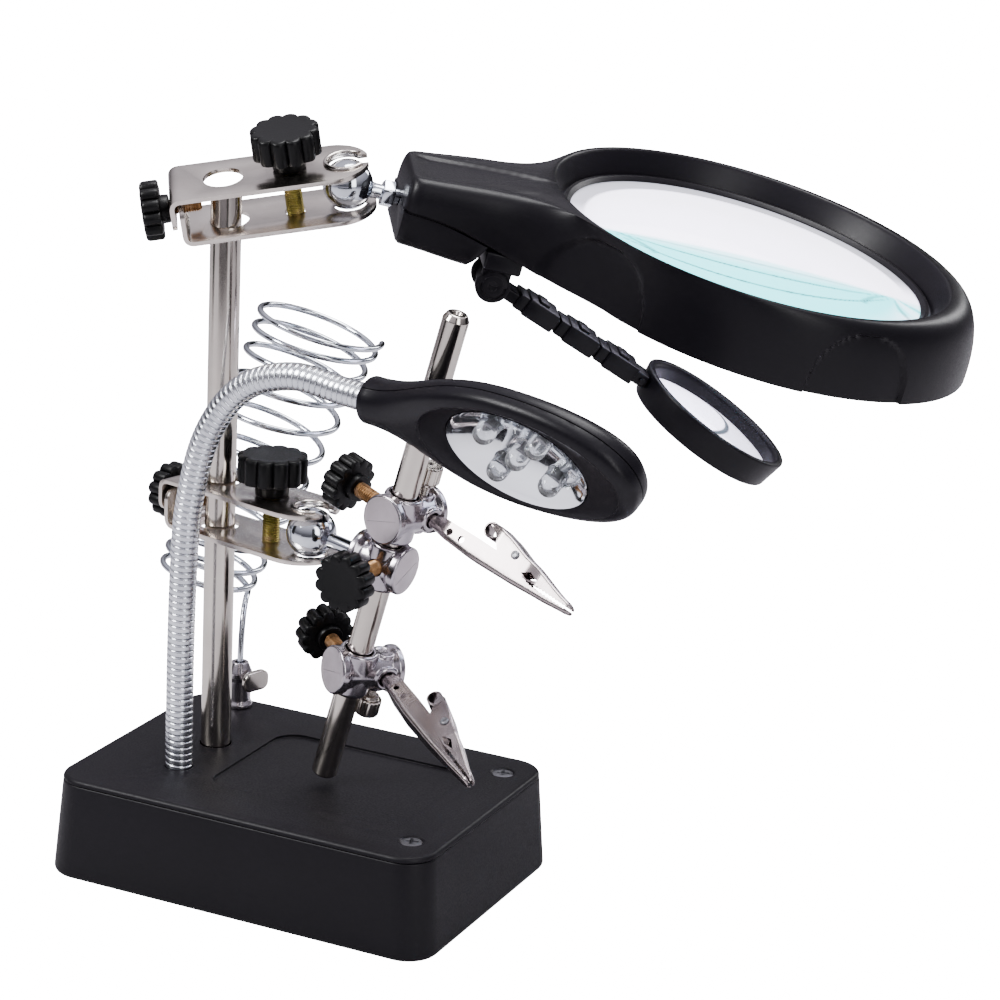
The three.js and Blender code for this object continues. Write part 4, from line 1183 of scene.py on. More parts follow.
def rod_foot(z):
    """The low end of the cross rod's axis, found from the block it carries."""
    on_axis = joint_point("lower_block_turn")
    local = axes(on_axis, x=z.orthogonal(), z=z)
    return on_axis + z * extent("cross_rod", local)[0].z


def bead(radius, z, wide, tall):
    """A raised ring round a bore along Z."""
    section = [(radius + wide * math.cos(a), z + tall * math.sin(a)) for a in arc(0, 330, 11)]
    return hoop("ridge", section, 48)


def build_block(name, local, body, far, bore_axis, thumb_side):
    """A die-cast swivel block: a barrel along X with end discs, bored for the rod and, unless thumb_side
    is 0, for a clip's stem, with the thumb screw's bore on that side."""
    r, cap, waist = BLOCK["radius"], BLOCK["cap"], BLOCK["waist"]
    profile = [
        (0, far), (r - 0.3, far), (r, far + 0.3), (r, far + 1.6), (waist, far + 2.9),
        (waist, cap - 3.2), (r, cap - 1.9), (r, cap - 0.3), (r - 0.3, cap), (0, cap),
    ]
    parts = [turned(lathe(name + "_casting", profile, 72), 90, "Y")]
    turn = Vector((0, 0, 1)).rotation_difference(bore_axis).to_matrix().to_4x4()
    parts.append(moved(rod("boss", 4.7, -5.5, 5.5, 48, 0.4), turn))
    for end in (-5.2, 5.2):
        parts.append(moved(bead(BLOCK["bore"] + 0.4, end, 0.75, 0.6), turn))
    if thumb_side:
        for end in (-1, 1):
            parts.append(shifted(turned(bead(2.5, 4.6 * end, 0.7, 0.6), 90, "X"), BLOCK["clip_x"]))
            parts.append(shifted(bead(2.2, 4.5 * end, 0.6, 0.5), BLOCK["clip_x"]))
    casting = melt(gather(*parts), 0.2, 5, 0.6)
    tools = [
        moved(rod("rod_bore", BLOCK["bore"], -12, 12, 64), turn),
        turned(rod("knob_bore", 2.2, 0, 12, 32), 90, "X"),
    ]
    if thumb_side:
        stem_bore = turned(rod("stem_bore", BLOCK["clip_bore"], -12, 12, 32), 90, "X")
        tools.append(shifted(stem_bore, BLOCK["clip_x"]))
        thumb_low, thumb_high = (0, 12) if thumb_side > 0 else (-12, 0)
        tools.append(shifted(rod("thumb_bore", 1.6, thumb_low, thumb_high, 32), BLOCK["clip_x"]))
    casting = carve(casting, *tools)
    casting.name = name + "_casting"
    place(casting, local, body, CAST, "die_cast", name, angle=50)

    for end, x in (("cap", cap), ("tail", far)):
        if end == "tail" and not thumb_side:
            continue
        sign = 1 if end == "cap" else -1
        face = lathe("face", [(0, -0.4), (r - 0.55, -0.4), (r - 0.5, 0.04), (0, 0.06)], 96, 0.03)
        line = shifted(block("line", (-0.06, -r + 1.2, 0.0), (0.06, r - 1.6, 1), 0), 0.4)
        face = turned(carve(face, line), 90 * sign, "Y")
        face.name = f"{name}_{end}_face"
        place(turned(shifted(face, x), 25, "X"), local, body, DISC, "die_cast", angle=30)


CLIP = {"start": 6.5, "tip": 49.2, "wide": 3.9, "narrow": 1.5, "wrap": 0.52, "back": 20.4, "upper_tip": 49.1}


def jaw_half(y):
    """Half of a jaw's width, which tapers from its root to its tip."""
    return lerp(CLIP["wide"], CLIP["narrow"], (y - CLIP["start"]) / (CLIP["tip"] - CLIP["start"]))


def blunt(y):
    """How much of its width a jaw keeps at y, so that it ends in a rounded nose."""
    nose = max((y - 47.7) / 1.5, 0)
    return math.sqrt(max(1 - nose ** 2 * 0.92, 0.04))


def jaw_steps(start, stop):
    """Places along a jaw, closer together where it has teeth."""
    y = start
    while y <= stop:
        yield y
        y += 0.1 if y > 36.5 else 0.2


def cross_bore(radius, y, z):
    """A cutter across a clip, along its X."""
    return shifted(turned(rod("hole", radius, -9, 9, 28), 90, "Y"), y=y, z=z)


def profile_at(points, y):
    """Height at y on a smooth line through (y, z) points."""
    for (y0, z0), (y1, z1) in zip(points, points[1:]):
        if y <= y1:
            return lerp(z0, z1, smooth_step(y0, y1, y) * 0.4 + (y - y0) / (y1 - y0) * 0.6)
    return points[-1][1]


def channel(name, stations, thickness):
    """A folded strip of sheet. Each station is y, half width, z of the folded face, z of the free edge
    and the fold's radius."""
    rows = []
    for y, half, back, edge, r in stations:
        sign = 1 if edge > back else -1
        r = min(r, half - 0.05, abs(edge - back) - 0.02)
        side = [Vector((-half, y, lerp(edge, back + sign * r, k / 5))) for k in range(5)]
        for a in arc(0, 90, 6):
            side.append(Vector((-half + r * (1 - math.cos(a)), y, back + sign * r * (1 - math.sin(a)))))
        row = side + [Vector((0, y, back))] + [Vector((-p.x, p.y, p.z)) for p in side[::-1]]
        rows.append(row)
    n = len(rows[0])
    verts = [p for row in rows for p in row]
    faces = [
        (r * n + i, r * n + i + 1, (r + 1) * n + i + 1, (r + 1) * n + i)
        for r in range(len(rows) - 1) for i in range(n - 1)
    ]
    sheet = mesh_object(name, verts, faces)
    bm = edit(sheet)
    bmesh.ops.recalc_face_normals(bm, faces=bm.faces)
    middle = sum((f.calc_center_median() for f in bm.faces), Vector()) / len(bm.faces)
    outward = sum(f.normal.dot(f.calc_center_median() - middle) for f in bm.faces)
    if outward < 0:
        bmesh.ops.reverse_faces(bm, faces=bm.faces)
    store(bm, sheet)
    solid = sheet.modifiers.new("sheet", "SOLIDIFY")
    solid.thickness = thickness
    solid.offset = -1
    solid.use_even_offset = True
    solid.thickness_clamp = 1.0
    return clean(evaluate(sheet), 1e-3)


def teeth(y):
    """The saw-tooth edge towards the jaws' tips."""
    if not 37 < y < 47.6:
        return 0.0
    phase = (y - 37) / 1.06 % 1
    return 0.32 * abs(2 * phase - 1)


def build_clip(name, body, jaw_body, roll_joint, jaw_joint):
    local = axes(joint_point(roll_joint), y=joint_axis(roll_joint), x=joint_axis(jaw_joint))
    hinge = local.inverted() @ joint_point(jaw_joint)
    hinge_y, hinge_z = hinge.y, hinge.z

    def outer_edge(y):
        line = [(6.5, 1.6), (10, 2.2), (20, 2.5), (26, 2.5), (31, 1.9), (35.4, 0.6), (36.2, 0.1), (48.7, 0.05)]
        ear = (hinge_z - 1.2) * math.exp(-((y - hinge_y) / 1.9) ** 2)
        return profile_at(line, y) + ear - teeth(y)

    low_line = [(6.5, -1.6), (12, -2.2), (20, -2.6), (30, -2.3), (40, -1.7), (47, -1.1), (49.2, -0.75)]
    stations = []
    for y in jaw_steps(CLIP["start"], CLIP["tip"]):
        half = jaw_half(y) if y > 12 else lerp(2.1, jaw_half(12), smooth_step(CLIP["start"], 12, y))
        fold = lerp(1.5, 0.8, (y - CLIP["start"]) / 43)
        stations.append((y, half * blunt(y), profile_at(low_line, y), outer_edge(y), fold))
    lower = channel(name + "_outer", stations, 0.6)
    holes = [cross_bore(0.85, 12.6, 0.0), cross_bore(0.85, 16.2, 0.0), cross_bore(0.95, hinge_y, hinge_z)]
    lower = carve(lower, *holes)
    stem = turned(hoop("stem", [(0.9, -4), (1.6, -4), (1.6, 9.5), (0.9, 9.5)], 48, 0.2), -90, "X")
    lower = gather(lower, stem)
    lower.name = name + "_outer_jaw"
    place(lower, local, body, CLIP_NICKEL, "nickel", name + "_lower_jaw", angle=40)

    jaw_frame = axes(joint_point(jaw_joint), y=joint_axis(roll_joint), x=joint_axis(jaw_joint))
    top_line = [(20.4, 7.5), (23, 7.7), (26, 7.1), (34, 5.0), (47, 1.8), (49.1, 1.1)]

    def inner_edge(y):
        if y > 36:
            return 0.45 + teeth(y)
        return profile_at([(20.4, 6.6), (22.5, 5.8), (26.4, 1.9), (29, 1.2), (36, 0.45)], y)

    stations = []
    for y in jaw_steps(CLIP["back"], CLIP["upper_tip"]):
        half = jaw_half(y) + CLIP["wrap"] * (1 - smooth_step(34.5, 38.5, y))
        half *= lerp(0.72, 1, smooth_step(CLIP["back"], 25, y))
        back = profile_at(top_line, y)
        stations.append((y, half * blunt(y), back, min(inner_edge(y), back - 0.35), 0.7))
    upper = channel(name + "_inner", stations, 0.45)
    slot = [(-1.3, 33.9), (-0.7, 36.0), (-1.6, 38.3), (-2.6, 36.0)]
    diamond = turned(prism("slot", slot, -9, 9), 90, "Y")
    upper = carve(upper, diamond, cross_bore(0.95, hinge_y, hinge_z))
    # The finger grip at the back is a strip rolled round X.
    curl, thin = 1.75, 0.22
    strip = []
    for a in arc(80, 330, 36):
        n = Vector((0, math.cos(a), math.sin(a)))
        p = Vector((0, 20.9 + curl * math.cos(a), 7.5 - curl + curl * math.sin(a)))
        half = 2.4 * (1 - 0.35 * smooth_step(math.radians(250), math.radians(330), a))
        corners = ((thin, half), (thin, -half), (-thin, -half), (-thin, half))
        strip.append([p + n * out + Vector((x, 0, 0)) for out, x in corners])
    roll = chamfer(skin("curl", strip), 0.1, 2, 60)
    upper = gather(upper, roll)
    upper.name = name + "_inner_jaw"
    back = jaw_frame.inverted() @ local
    moved(upper, back)
    place(upper, jaw_frame, jaw_body, CLIP_NICKEL, "nickel", name + "_upper_jaw", angle=40)

    outside = jaw_half(hinge_y) + CLIP["wrap"]
    head = [(0, 0), (1.05, 0), (1.05, 0.15), (0.8, 0.38), (0.5, 0.42), (0.35, 0.25), (0, 0.2)]
    parts = [turned(rod("shaft", 0.8, -outside - 0.3, outside + 0.3, 32), 90, "Y")]
    for side in (-1, 1):
        cap = turned(lathe("cap", head, 48, 0.12), 90 * side, "Y")
        parts.append(shifted(cap, side * (outside + 0.02)))
    rivet = shifted(gather(*parts), y=hinge_y, z=hinge_z)
    rivet.name = name + "_pin"
    place(rivet, local, body, STEEL, "dark_steel", name + "_rivet", angle=30)

    turns, steps, coil = 3, 180, 1.15
    path = [(-0.95, hinge_y - 3.5, hinge_z - 3.2)]
    for k in range(steps + 1):
        t = k / steps
        a = TAU * turns * t
        path.append((-0.95 + 1.9 * t, hinge_y + coil * math.cos(a), hinge_z + coil * math.sin(a)))
    path.append((0.95, hinge_y - 3.6, hinge_z + 1.6))
    spring = sweep(name + "_coil", path, 0.17, 10)
    place(spring, local, body, STEEL, "dark_steel", name + "_spring", angle=60)


def build_clip_unit(short):
    name = short + "_clip"
    z = joint_axis(short + "_block_turn")
    y = -joint_axis(short + "_block_knob_turn")
    local = axes(joint_point(short + "_block_turn"), y=y, z=z)
    thumb = joint_axis(short + "_thumb_turn")
    side = 1 if thumb.dot(z) > 0 else -1
    far = extent(name + "_block", local)[0].x
    build_block(name + "_block", local, short + "_block", far, Vector((0, 0, 1)), side)
    build_knob(name + "_block_knob", short + "_block_knob_turn", short + "_block_knob", "block")
    build_clip(name, short + "_clip", short + "_jaw", short + "_clip_roll", short + "_jaw_open")

    screw_frame = axes(joint_point(short + "_thumb_turn"), x=thumb.orthogonal(), z=thumb)
    profile = [
        (0, 7.2), (2.2, 7.2), (2.2, 8.0), (3.0, 8.05), (3.1, 8.4), (3.1, 12.0), (2.8, 12.4), (0.6, 12.4),
        (0, 12.2),
    ]
    head = lathe("head", profile, 120, 0.12)
    displace(head, knurl)
    screw = gather(head, shifted(threaded(1.3, 5.6, 0.5, 0.16, 24), z=1.9))
    screw.name = name + "_thumb"
    place(screw, screw_frame, short + "_thumb", NICKEL, "nickel", name + "_thumb_screw", angle=30)


def knurl(p):
    """Straight flutes round the thumb screw's head."""
    r = math.hypot(p.x, p.y)
    if r < 2.7 or p.z < 8.05:
        return p
    cut = 0.22 * (0.5 + 0.5 * math.cos(20 * math.atan2(p.y, p.x)))
    return Vector((p.x * (1 - cut / r), p.y * (1 - cut / r), p.z))


def build_mid_block():
    x = joint_axis("rod_swing")
    y = -joint_axis("mid_knob_turn")
    rod_axis = joint_axis("rod_slide")
    ball = joint_point("rod_swing")
    knob = joint_point("mid_knob_turn")
    centre = ball + x * (knob - ball).dot(x)
    local = axes(centre, x=x, y=y)
    inverse = local.inverted().to_3x3()
    far = extent("mid_block", local)[0].x
    build_block("mid_block", local, "mid_block", far, inverse @ rod_axis, 0)
    build_knob("mid_block_knob", "mid_knob_turn", "mid_knob", "block")
    build_stud("rod_ball_stud", axes(ball, x=x, y=y), "mid_block")


# ------------------------------------------------------------------ gooseneck and lamp

HOSE = {"radius": 3.3, "pitch": 1.55, "groove": 0.62, "foot": 15.0}
LAMP = {"neck_x": -44, "neck_z": -6, "neck_radius": 5.6, "tip": 31, "half": 17, "high": 5.25}
REFLECTOR = {"a": 18.6, "b": 13.8, "rim": -1.3, "depth": 4.6}
LED_RADIUS = 2.5


def lamp_frame():
    x, z = joint_axis("lamp_twist"), joint_axis("lamp_switch_press")
    origin = joint_point("lamp_twist") - x * LAMP["neck_x"] - z * LAMP["neck_z"]
    return axes(origin, x=x, z=z)


def catmull(points, steps):
    """A smooth line through points, with centripetal spacing."""
    p = [Vector(q) for q in points]
    p = [p[0] * 2 - p[1], *p, p[-1] * 2 - p[-2]]
    out = []
    for i in range(1, len(p) - 2):
        a, b, c, d = p[i - 1:i + 3]
        t0 = 0.0
        t1 = t0 + (b - a).length ** 0.5
        t2 = t1 + (c - b).length ** 0.5
        t3 = t2 + (d - c).length ** 0.5
        for k in range(steps + (i == len(p) - 3)):
            t = lerp(t1, t2, k / steps)
            a1 = a * ((t1 - t) / (t1 - t0)) + b * ((t - t0) / (t1 - t0))
            a2 = b * ((t2 - t) / (t2 - t1)) + c * ((t - t1) / (t2 - t1))
            a3 = c * ((t3 - t) / (t3 - t2)) + d * ((t - t2) / (t3 - t2))
            b1 = a1 * ((t2 - t) / (t2 - t0)) + a2 * ((t - t0) / (t2 - t0))
            b2 = a2 * ((t3 - t) / (t3 - t1)) + a3 * ((t - t1) / (t3 - t1))
            out.append(b1 * ((t2 - t) / (t2 - t1)) + b2 * ((t - t1) / (t2 - t1)))
    return out


def even_steps(path, step):
    """The same line with points at an even distance."""
    out, carry = [path[0]], 0.0
    for a, b in zip(path, path[1:]):
        length = (b - a).length
        at = step - carry
        while at <= length:
            out.append(a.lerp(b, at / length))
            at += step
        carry = length - (at - step)
    return out


def build_hose(lamp):
    """One spiral metal hose over both parts of the gooseneck: a single fixed mesh whose line curves smoothly
    through the hinge.
    """
    hinge = joint_point("gooseneck_bend")
    foot = Vector((NECK_FOOT.x, NECK_FOOT.y, 0))
    points = [
        foot + Vector((0, 0, HOSE["foot"])), foot + Vector((0, 0, LID_HIGH.z)), foot + Vector((0, 0, 56.4)),
        hinge + Vector((-0.9, 0.1, -12)), hinge, Vector((-21.6, -13.6, 108.4)), Vector((-15.4, -13.5, 119)),
        Vector((-8.6, -13.5, 124.6)), Vector((2.6, -14, 127.8)),
        lamp @ Vector((LAMP["neck_x"] - 8, 0, LAMP["neck_z"])),
        lamp @ Vector((LAMP["neck_x"] + 3, 0, LAMP["neck_z"])),
    ]
    path = even_steps(catmull(points, 30), HOSE["pitch"] / 16)

    def wound(s, a):
        phase = abs(2 * ((s / HOSE["pitch"] + a / TAU) % 1.0) - 1)
        return HOSE["radius"] - HOSE["groove"] * (1 - math.sqrt(max(1 - phase ** 7.0, 0.0)))

    hose = sweep("gooseneck_hose", path, wound, 32)
    hose.data.transform(Matrix.Scale(MM, 4))
    hose.data.materials.append(HOSE_CHROME)
    hose.data.polygons.foreach_set("use_smooth", [True] * len(hose.data.polygons))
    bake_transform(hose)
    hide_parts("gooseneck_lower", "gooseneck_upper")


def bezier(p0, p1, p2, p3, steps):
    points = []
    for k in range(steps):
        t = k / steps
        points.append(tuple(
            a * (1 - t) ** 3 + b * 3 * t * (1 - t) ** 2 + c * 3 * t * t * (1 - t) + d * t ** 3
            for a, b, c, d in zip(p0, p1, p2, p3)
        ))
    return points


def lamp_section(x, half):
    """One cross section of the lamp's body: round at the neck, flat-fronted and domed behind at the head."""
    head = smooth_step(-40, -14, x)
    closing = 1 - (1 - min(half / LAMP["half"], 1)) ** 3.2 if x > 0 else 1.0
    high = lerp(LAMP["neck_radius"], LAMP["high"], head) * closing
    middle = lerp(LAMP["neck_z"], -LAMP["high"], head)
    if x > 0:
        middle += LAMP["high"] * (1 - closing) * 0.35
    points = []
    for k in range(96):
        a = TAU * k / 96
        c, s = math.cos(a), math.sin(a)
        power = lerp(2.0, 4.2 if s > 0 else 2.5, head)
        y = half * math.copysign(abs(c) ** (2 / power), c)
        z = middle + high * math.copysign(abs(s) ** (2 / power), s)
        points.append((x, y, z))
    return points


def lamp_body():
    half, tip, neck = LAMP["half"], LAMP["tip"], LAMP["neck_radius"]
    rim = bezier((-42, neck), (-30, neck + 1), (-20, half), (-2, half), 44)
    rim += bezier((-2, half), (18, half), (tip, half * 0.62), (tip, 0.05), 60) + [(tip, 0.05)]
    start = LAMP["neck_x"]
    rim = [(start, neck - 0.5), (start + 0.15, neck - 0.15), (start + 0.5, neck)] + rim
    rows = []
    for i, (x, width) in enumerate(rim):
        row = lamp_section(x, width)
        if i < 2:
            shrink = (neck - (0.5, 0.15)[i]) / neck
            row = [(x, y, LAMP["neck_z"] + (z - LAMP["neck_z"]) * shrink) for x, y, z in row]
        rows.append(row)
    return skin("lamp_body", rows)


def build_lamp():
    lamp = lamp_frame()
    build_hose(lamp)
    a, b, rim = REFLECTOR["a"] + 0.25, REFLECTOR["b"] + 0.25, REFLECTOR["rim"]
    seam = -4.6

    def cutters():
        bowl = [oval(a, b, -8.2), oval(a, b, rim - 0.05)]
        for k in range(13):
            t = k / 12
            bowl.append(oval(lerp(a + 0.3, 26.6, t), lerp(b + 0.2, 15.1, t), rim + 0.75 * t ** 1.8, 0.7 * t))
        bowl += [oval(27.3, 15.9, 0.3, 0.7), oval(29, 17.6, 4, 0.7)]
        cord = turned(rod("cord", HOSE["radius"] + 0.25, -1, 9, 40), 90, "Y")
        return [skin("bowl", bowl), shifted(cord, LAMP["neck_x"], z=LAMP["neck_z"])]

    relief = rod("relief", 1.15, -4, 4, 32)
    relief.data.transform(Matrix.Diagonal((1.9, 1, 1, 1)))
    shifted(turned(turned(relief, -28, "X"), 12, "Y"), -31.5, -7.6, -2.6)
    rear_half = block("rear_half", (-60, -40, -40), (60, 40, seam + 0.12))
    front = carve(lamp_body(), *cutters(), relief, rear_half)
    front = chamfer(front, 0.28, 3, 38)
    front.name = "lamp_front"
    place(front, lamp, "lamp", LAMP_PLASTIC, "lamp_plastic", "lamp_bezel", angle=32)

    switch_low, switch_high = extent("lamp_switch", lamp)
    switch_x, switch_r = (switch_low.x + switch_high.x) / 2, (switch_high.x - switch_low.x) / 2
    well = shifted(rod("well", switch_r + 0.3, switch_low.z, switch_high.z + 0.2, 64), switch_x)
    front_half = block("front_half", (-60, -40, seam - 0.12), (60, 40, 40))
    back = carve(lamp_body(), *cutters(), front_half, well)
    back = chamfer(back, 0.25, 3, 38)
    back.name = "lamp_back"
    place(back, lamp, "lamp", LAMP_PLASTIC, "lamp_plastic", "lamp_back_shell", angle=32)

    low, high = switch_low.z, switch_high.z
    profile = [
        (0, high), (switch_r, high), (switch_r, low + 1.0), (switch_r - 1.0, low), (switch_r - 2.2, low),
        (switch_r - 2.6, low + 0.5), (1, low + 0.75), (0, low + 0.75),
    ]
    cap = shifted(lathe("switch_cap", profile, 96, 0.3), switch_x)
    place(cap, lamp, "lamp_switch", LAMP_PLASTIC, "lamp_plastic", "lamp_switch")
    build_reflector(lamp)


def build_reflector(lamp):
    a, b, rim, depth = REFLECTOR["a"], REFLECTOR["b"], REFLECTOR["rim"], REFLECTOR["depth"]
    back = rim - depth - 0.5
    rows = [oval(a * 0.004, b * 0.004, back), oval(a * 0.7, b * 0.7, back), oval(a, b, rim - 0.6)]
    for k in range(14):
        s = 1 - k / 13.05
        rows.append(oval(a * s, b * s, rim - depth * (1 - s ** 2.6)))
    dish = skin("dish", rows)
    places = []
    for i in range(1, 6):
        low, high = extent(f"led_{i}", lamp)
        places.append(((low.x + high.x) / 2, (low.y + high.y) / 2))
    holes = [shifted(rod("hole", LED_RADIUS + 0.25, -12, 4, 32), x, y) for x, y in places]
    dish = chamfer(carve(dish, *holes), 0.1, 2, 50)
    place(dish, lamp, "lamp", MIRROR, "reflector", "lamp_reflector", angle=40)
    for i, (x, y) in enumerate(places, 1):
        build_led(i, x, y, lamp)


def build_led(i, x, y, lamp):
    """A clear 5 mm dome with its flange, and the little cup and posts inside it."""
    r = LED_RADIUS
    profile = [(0, -6.5), (r + 0.3, -6.5), (r + 0.3, -5.6), (r, -5.5), (r, -1.6)]
    profile += [(r * math.cos(a), -1.6 + r * math.sin(a)) for a in arc(8, 90, 12)]
    dome = shifted(lathe(f"led_{i}_dome", profile, 64, 0.06), x, y)
    place(dome, lamp, "lamp", EPOXY, "led_epoxy", f"led_{i}", angle=50)
    cup = hoop("cup", [(0.15, -4.2), (0.9, -3.4), (1.0, -3.4), (0.8, -4.4), (0.8, -6.3), (0.15, -6.3)], 32)
    post = block("post", (1.05, -0.25, -6.3), (1.5, 0.25, -3.3), 0.05)
    inside = shifted(gather(cup, post), x, y)
    inside.name = f"led_{i}_frame"
    place(inside, lamp, "lamp", STEEL, "dark_steel")


# ------------------------------------------------------------------ soldering-iron holder

COIL = {"wire": 0.8, "low": 11.6, "top": 15.8, "turns": 11, "length": 75, "end_pitch": 0.32, "tail": 0.05}
COIL_LOW = Vector((-49.5, 35, 55.6))
COIL_AXIS = Vector((0.356, 0.129, 0.925)).normalized()
COIL_FACE = Vector((0.26, 0.119, 0.958)).normalized()


def coil_point(t):
    """The spring's centre line: a tail that bends out of the socket, then widening turns."""
    across = COIL_FACE.cross(Vector((0, 0, 1))).normalized()
    along = across.cross(COIL_FACE)
    tail = COIL["tail"]
    s = max(0.0, (t - tail) / (1 - tail))
    angle = math.pi + s * COIL["turns"] * TAU
    rise = COIL["length"] * lerp(s * s * (3 - 2 * s), s, COIL["end_pitch"])
    radius = lerp(COIL["low"], COIL["top"], s)
    point = COIL_LOW + COIL_AXIS * rise + along * radius * math.cos(angle) + across * radius * math.sin(angle)
    if t >= tail:
        return point
    foot = joint_point("iron_coil_swivel")
    low = Vector((foot.x, foot.y, LID_HIGH.z + 5))
    knee = low + Vector((0, 0, 21))
    u = t / tail
    return low * (1 - u) ** 2 + knee * 2 * u * (1 - u) + point * u * u


def build_holder():
    steps = 1500
    coil = sweep("iron_coil_wire", [coil_point(k / steps) for k in range(steps + 1)], COIL["wire"], 14)
    place(coil, WORLD, "iron_coil", CHROME, "chrome", "iron_coil", angle=60)

    low, high = extent("iron_holder_socket", WORLD)
    centre = (low + high) / 2
    r = (high.x - low.x) / 2
    height = high.z - low.z
    profile = [
        (0, 0), (r, 0), (r, 0.8), (r - 0.5, 1.8), (r - 0.55, height * 0.6), (r - 0.2, height * 0.66),
        (r - 0.2, height * 0.78), (r - 0.8, height - 1.2), (r - 1.3, height), (1.2, height),
        (1.1, height - 4), (0, height - 4),
    ]
    socket = shifted(lathe("socket", profile, 80, 0.25), centre.x, centre.y, low.z)
    thumb_axis = joint_axis("holder_thumb_turn")
    local = axes(joint_point("holder_thumb_turn"), z=thumb_axis, y=Vector((0, 0, 1)))
    bore = moved(rod("bore", 1.45, 0.5, 8, 32), local)
    place(chamfer(carve(socket, bore), 0.12, 2, 40), WORLD, "root", CAST, "die_cast", "iron_holder_socket")

    corner = extent("iron_holder_thumb_screw", local)[1]
    middle = corner.z - 0.9
    outline = rounded_rectangle(corner.x, corner.y, 2.3, 10)
    paddle = shifted(prism("paddle", outline, -0.9, 0.9, 0.45, 4), z=middle)

    def pinched(p):
        """The paddle is thinner along its middle."""
        thin = 1 - 0.3 * math.exp(-(p.y / 1.3) ** 2)
        return Vector((p.x, p.y, middle + (p.z - middle) * thin))

    displace(paddle, pinched)
    screw = gather(paddle, shifted(threaded(1.15, middle - 0.7, 0.6, 0.18, 24), z=0.9))
    screw.name = "iron_holder_thumb"
    place(screw, local, "holder_thumb", NICKEL, "nickel", "iron_holder_thumb_screw")


# ------------------------------------------------------------------ build


build_base()
build_post()
build_clamp("upper", "magnifier_tilt")
build_clamp("lower", "rod_swing")
build_head()
build_aux()
build_rod()
build_mid_block()
build_clip_unit("upper")
build_clip_unit("lower")
build_lamp()
build_holder()


# ------------------------------------------------------------------ stage, light and camera


# Brightness of the floor and of the background, seen by the camera only.
FLOOR_GLOW = 9.0
WORLD_GLOW = 14.0
CAMERA = {
    "at": (0.326298, -0.601957, 0.304763), "right": (0.90133, 0.43068, 0.04609),
    "back": (0.40021, -0.86877, 0.29166), "lens": 108.72, "sensor": 36,
}


def rectangle(name, wide, tall):
    """A flat rectangle in its own XY plane, from its half sizes in metres."""
    corners = [(-wide, -tall, 0), (wide, -tall, 0), (wide, tall, 0), (-wide, tall, 0)]
    return mesh_object(name, corners, [(0, 1, 2, 3)])


def aimed(obj, place_at, aim, axis):
    """Moves an object and turns its given axis to the aim."""
    obj.location = place_at
    obj.rotation_euler = (Vector(aim) - Vector(place_at)).to_track_quat(axis, "Y").to_euler()


def build_stage():
    floor = rectangle("floor", 4, 4)
    s = Shader("floor")
    pale = s.mix(s.noise(3, 2), (0.90, 0.90, 0.91), (0.93, 0.93, 0.94))
    path = s.node("ShaderNodeLightPath").outputs
    # Reflections see the floor as a mid grey rather than pale: painted shade in what the metals reflect.
    s.set(base_color=s.mix(path["Is Glossy Ray"], pale, (0.50, 0.49, 0.51)))
    s.set(roughness=0.6)
    s.set(emission_color=pale)
    s.set(emission_strength=s.math("MULTIPLY", path["Is Camera Ray"], FLOOR_GLOW))
    floor.data.materials.append(s.material)
    floor.location.z = -0.0002


def area_light(name, place_at, aim, size, power, tall=None):
    data = bpy.data.lights.new(name, "AREA")
    data.shape = "RECTANGLE"
    data.size, data.size_y = size, tall or size
    data.energy = power
    lamp = bpy.data.objects.new(name, data)
    aimed(lamp, place_at, aim, "-Z")
    bpy.context.scene.collection.objects.link(lamp)


def dark_card(name, place_at, aim, wide, tall):
    """A black card that only reflections see, for the dark streaks in bright metal."""
    card = rectangle(name, wide, tall)
    s = Shader(name)
    s.set(base_color=s.mix(s.noise(5), (0.004, 0.004, 0.004), (0.008, 0.008, 0.008)))
    s.set(roughness=0.9)
    card.data.materials.append(s.material)
    aimed(card, place_at, aim, "Z")
    card.visible_camera = False
    card.visible_shadow = False
    card.visible_diffuse = False


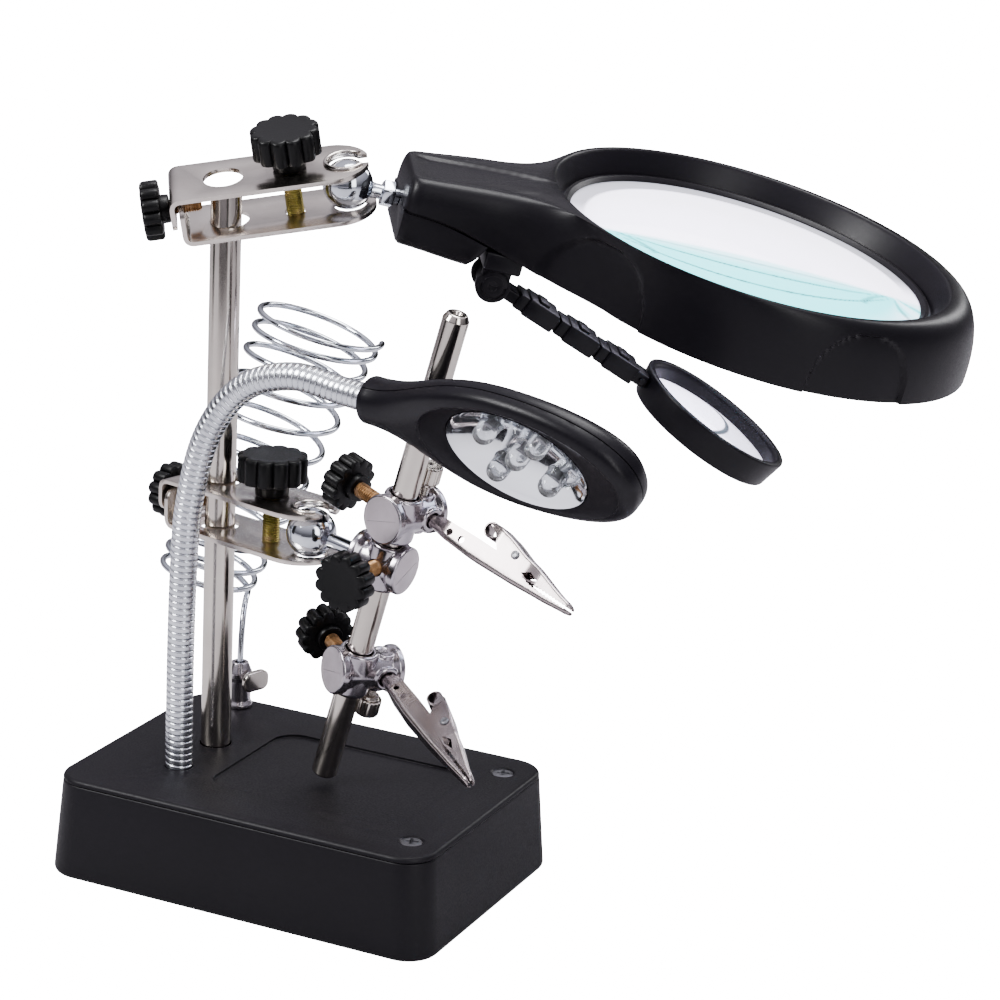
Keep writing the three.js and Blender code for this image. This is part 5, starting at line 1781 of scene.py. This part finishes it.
def build_world():
    world = bpy.data.worlds.new("studio")
    bpy.context.scene.world = world
    world.use_nodes = True
    tree = world.node_tree
    background = tree.nodes["Background"]
    path = tree.nodes.new("ShaderNodeLightPath")
    mix = tree.nodes.new("ShaderNodeMix")
    mix.data_type = "RGBA"
    coords = tree.nodes.new("ShaderNodeTexCoord")
    split = tree.nodes.new("ShaderNodeSeparateXYZ")
    ramp = tree.nodes.new("ShaderNodeValToRGB")
    for element, (height, level) in zip(ramp.color_ramp.elements, ((0.0, 0.10), (0.75, 0.75))):
        element.position = height
        element.color = (level, level * 0.97, level * 1.06, 1)
    tree.links.new(coords.outputs["Generated"], split.inputs["Vector"])
    tree.links.new(split.outputs["Z"], ramp.inputs["Fac"])
    factor, see, glow = (mix.inputs[key] for key in MIX_INPUTS)
    tree.links.new(ramp.outputs["Color"], see)
    glow.default_value = (WORLD_GLOW, WORLD_GLOW, WORLD_GLOW, 1)
    tree.links.new(path.outputs["Is Camera Ray"], factor)
    tree.links.new(mix.outputs[MIX_RESULT], background.inputs["Color"])


def build_camera():
    data = bpy.data.cameras.new("camera")
    data.lens = CAMERA["lens"]
    data.sensor_width = CAMERA["sensor"]
    data.clip_start, data.clip_end = 0.01, 20
    camera = bpy.data.objects.new("camera", data)
    camera.matrix_world = axes(Vector(CAMERA["at"]), x=Vector(CAMERA["right"]), z=Vector(CAMERA["back"]))
    bpy.context.scene.collection.objects.link(camera)
    bpy.context.scene.camera = camera


build_stage()
build_world()
build_camera()
bpy.context.scene.view_settings.look = "AgX - Medium High Contrast"
middle = (0, 0, 0.09)
area_light("key", (-0.5, -0.55, 0.75), middle, 0.4, 8)
area_light("fill", (0.75, -0.5, 0.45), middle, 0.35, 2.5, 0.7)
area_light("top", (0.1, 0.15, 0.95), middle, 0.5, 7)
area_light("rim", (0.1, 0.9, 0.5), middle, 0.6, 4, 0.4)
dark_card("card_left", (-0.6, -0.3, 0.2), middle, 0.12, 0.5)
dark_card("card_right", (0.5, -0.6, 0.1), middle, 0.10, 0.5)
dark_card("card_low", (0.15, -0.7, 0.0), middle, 0.4, 0.06)
dark_card("card_back", (0.0, 0.8, 0.25), middle, 0.16, 0.5)
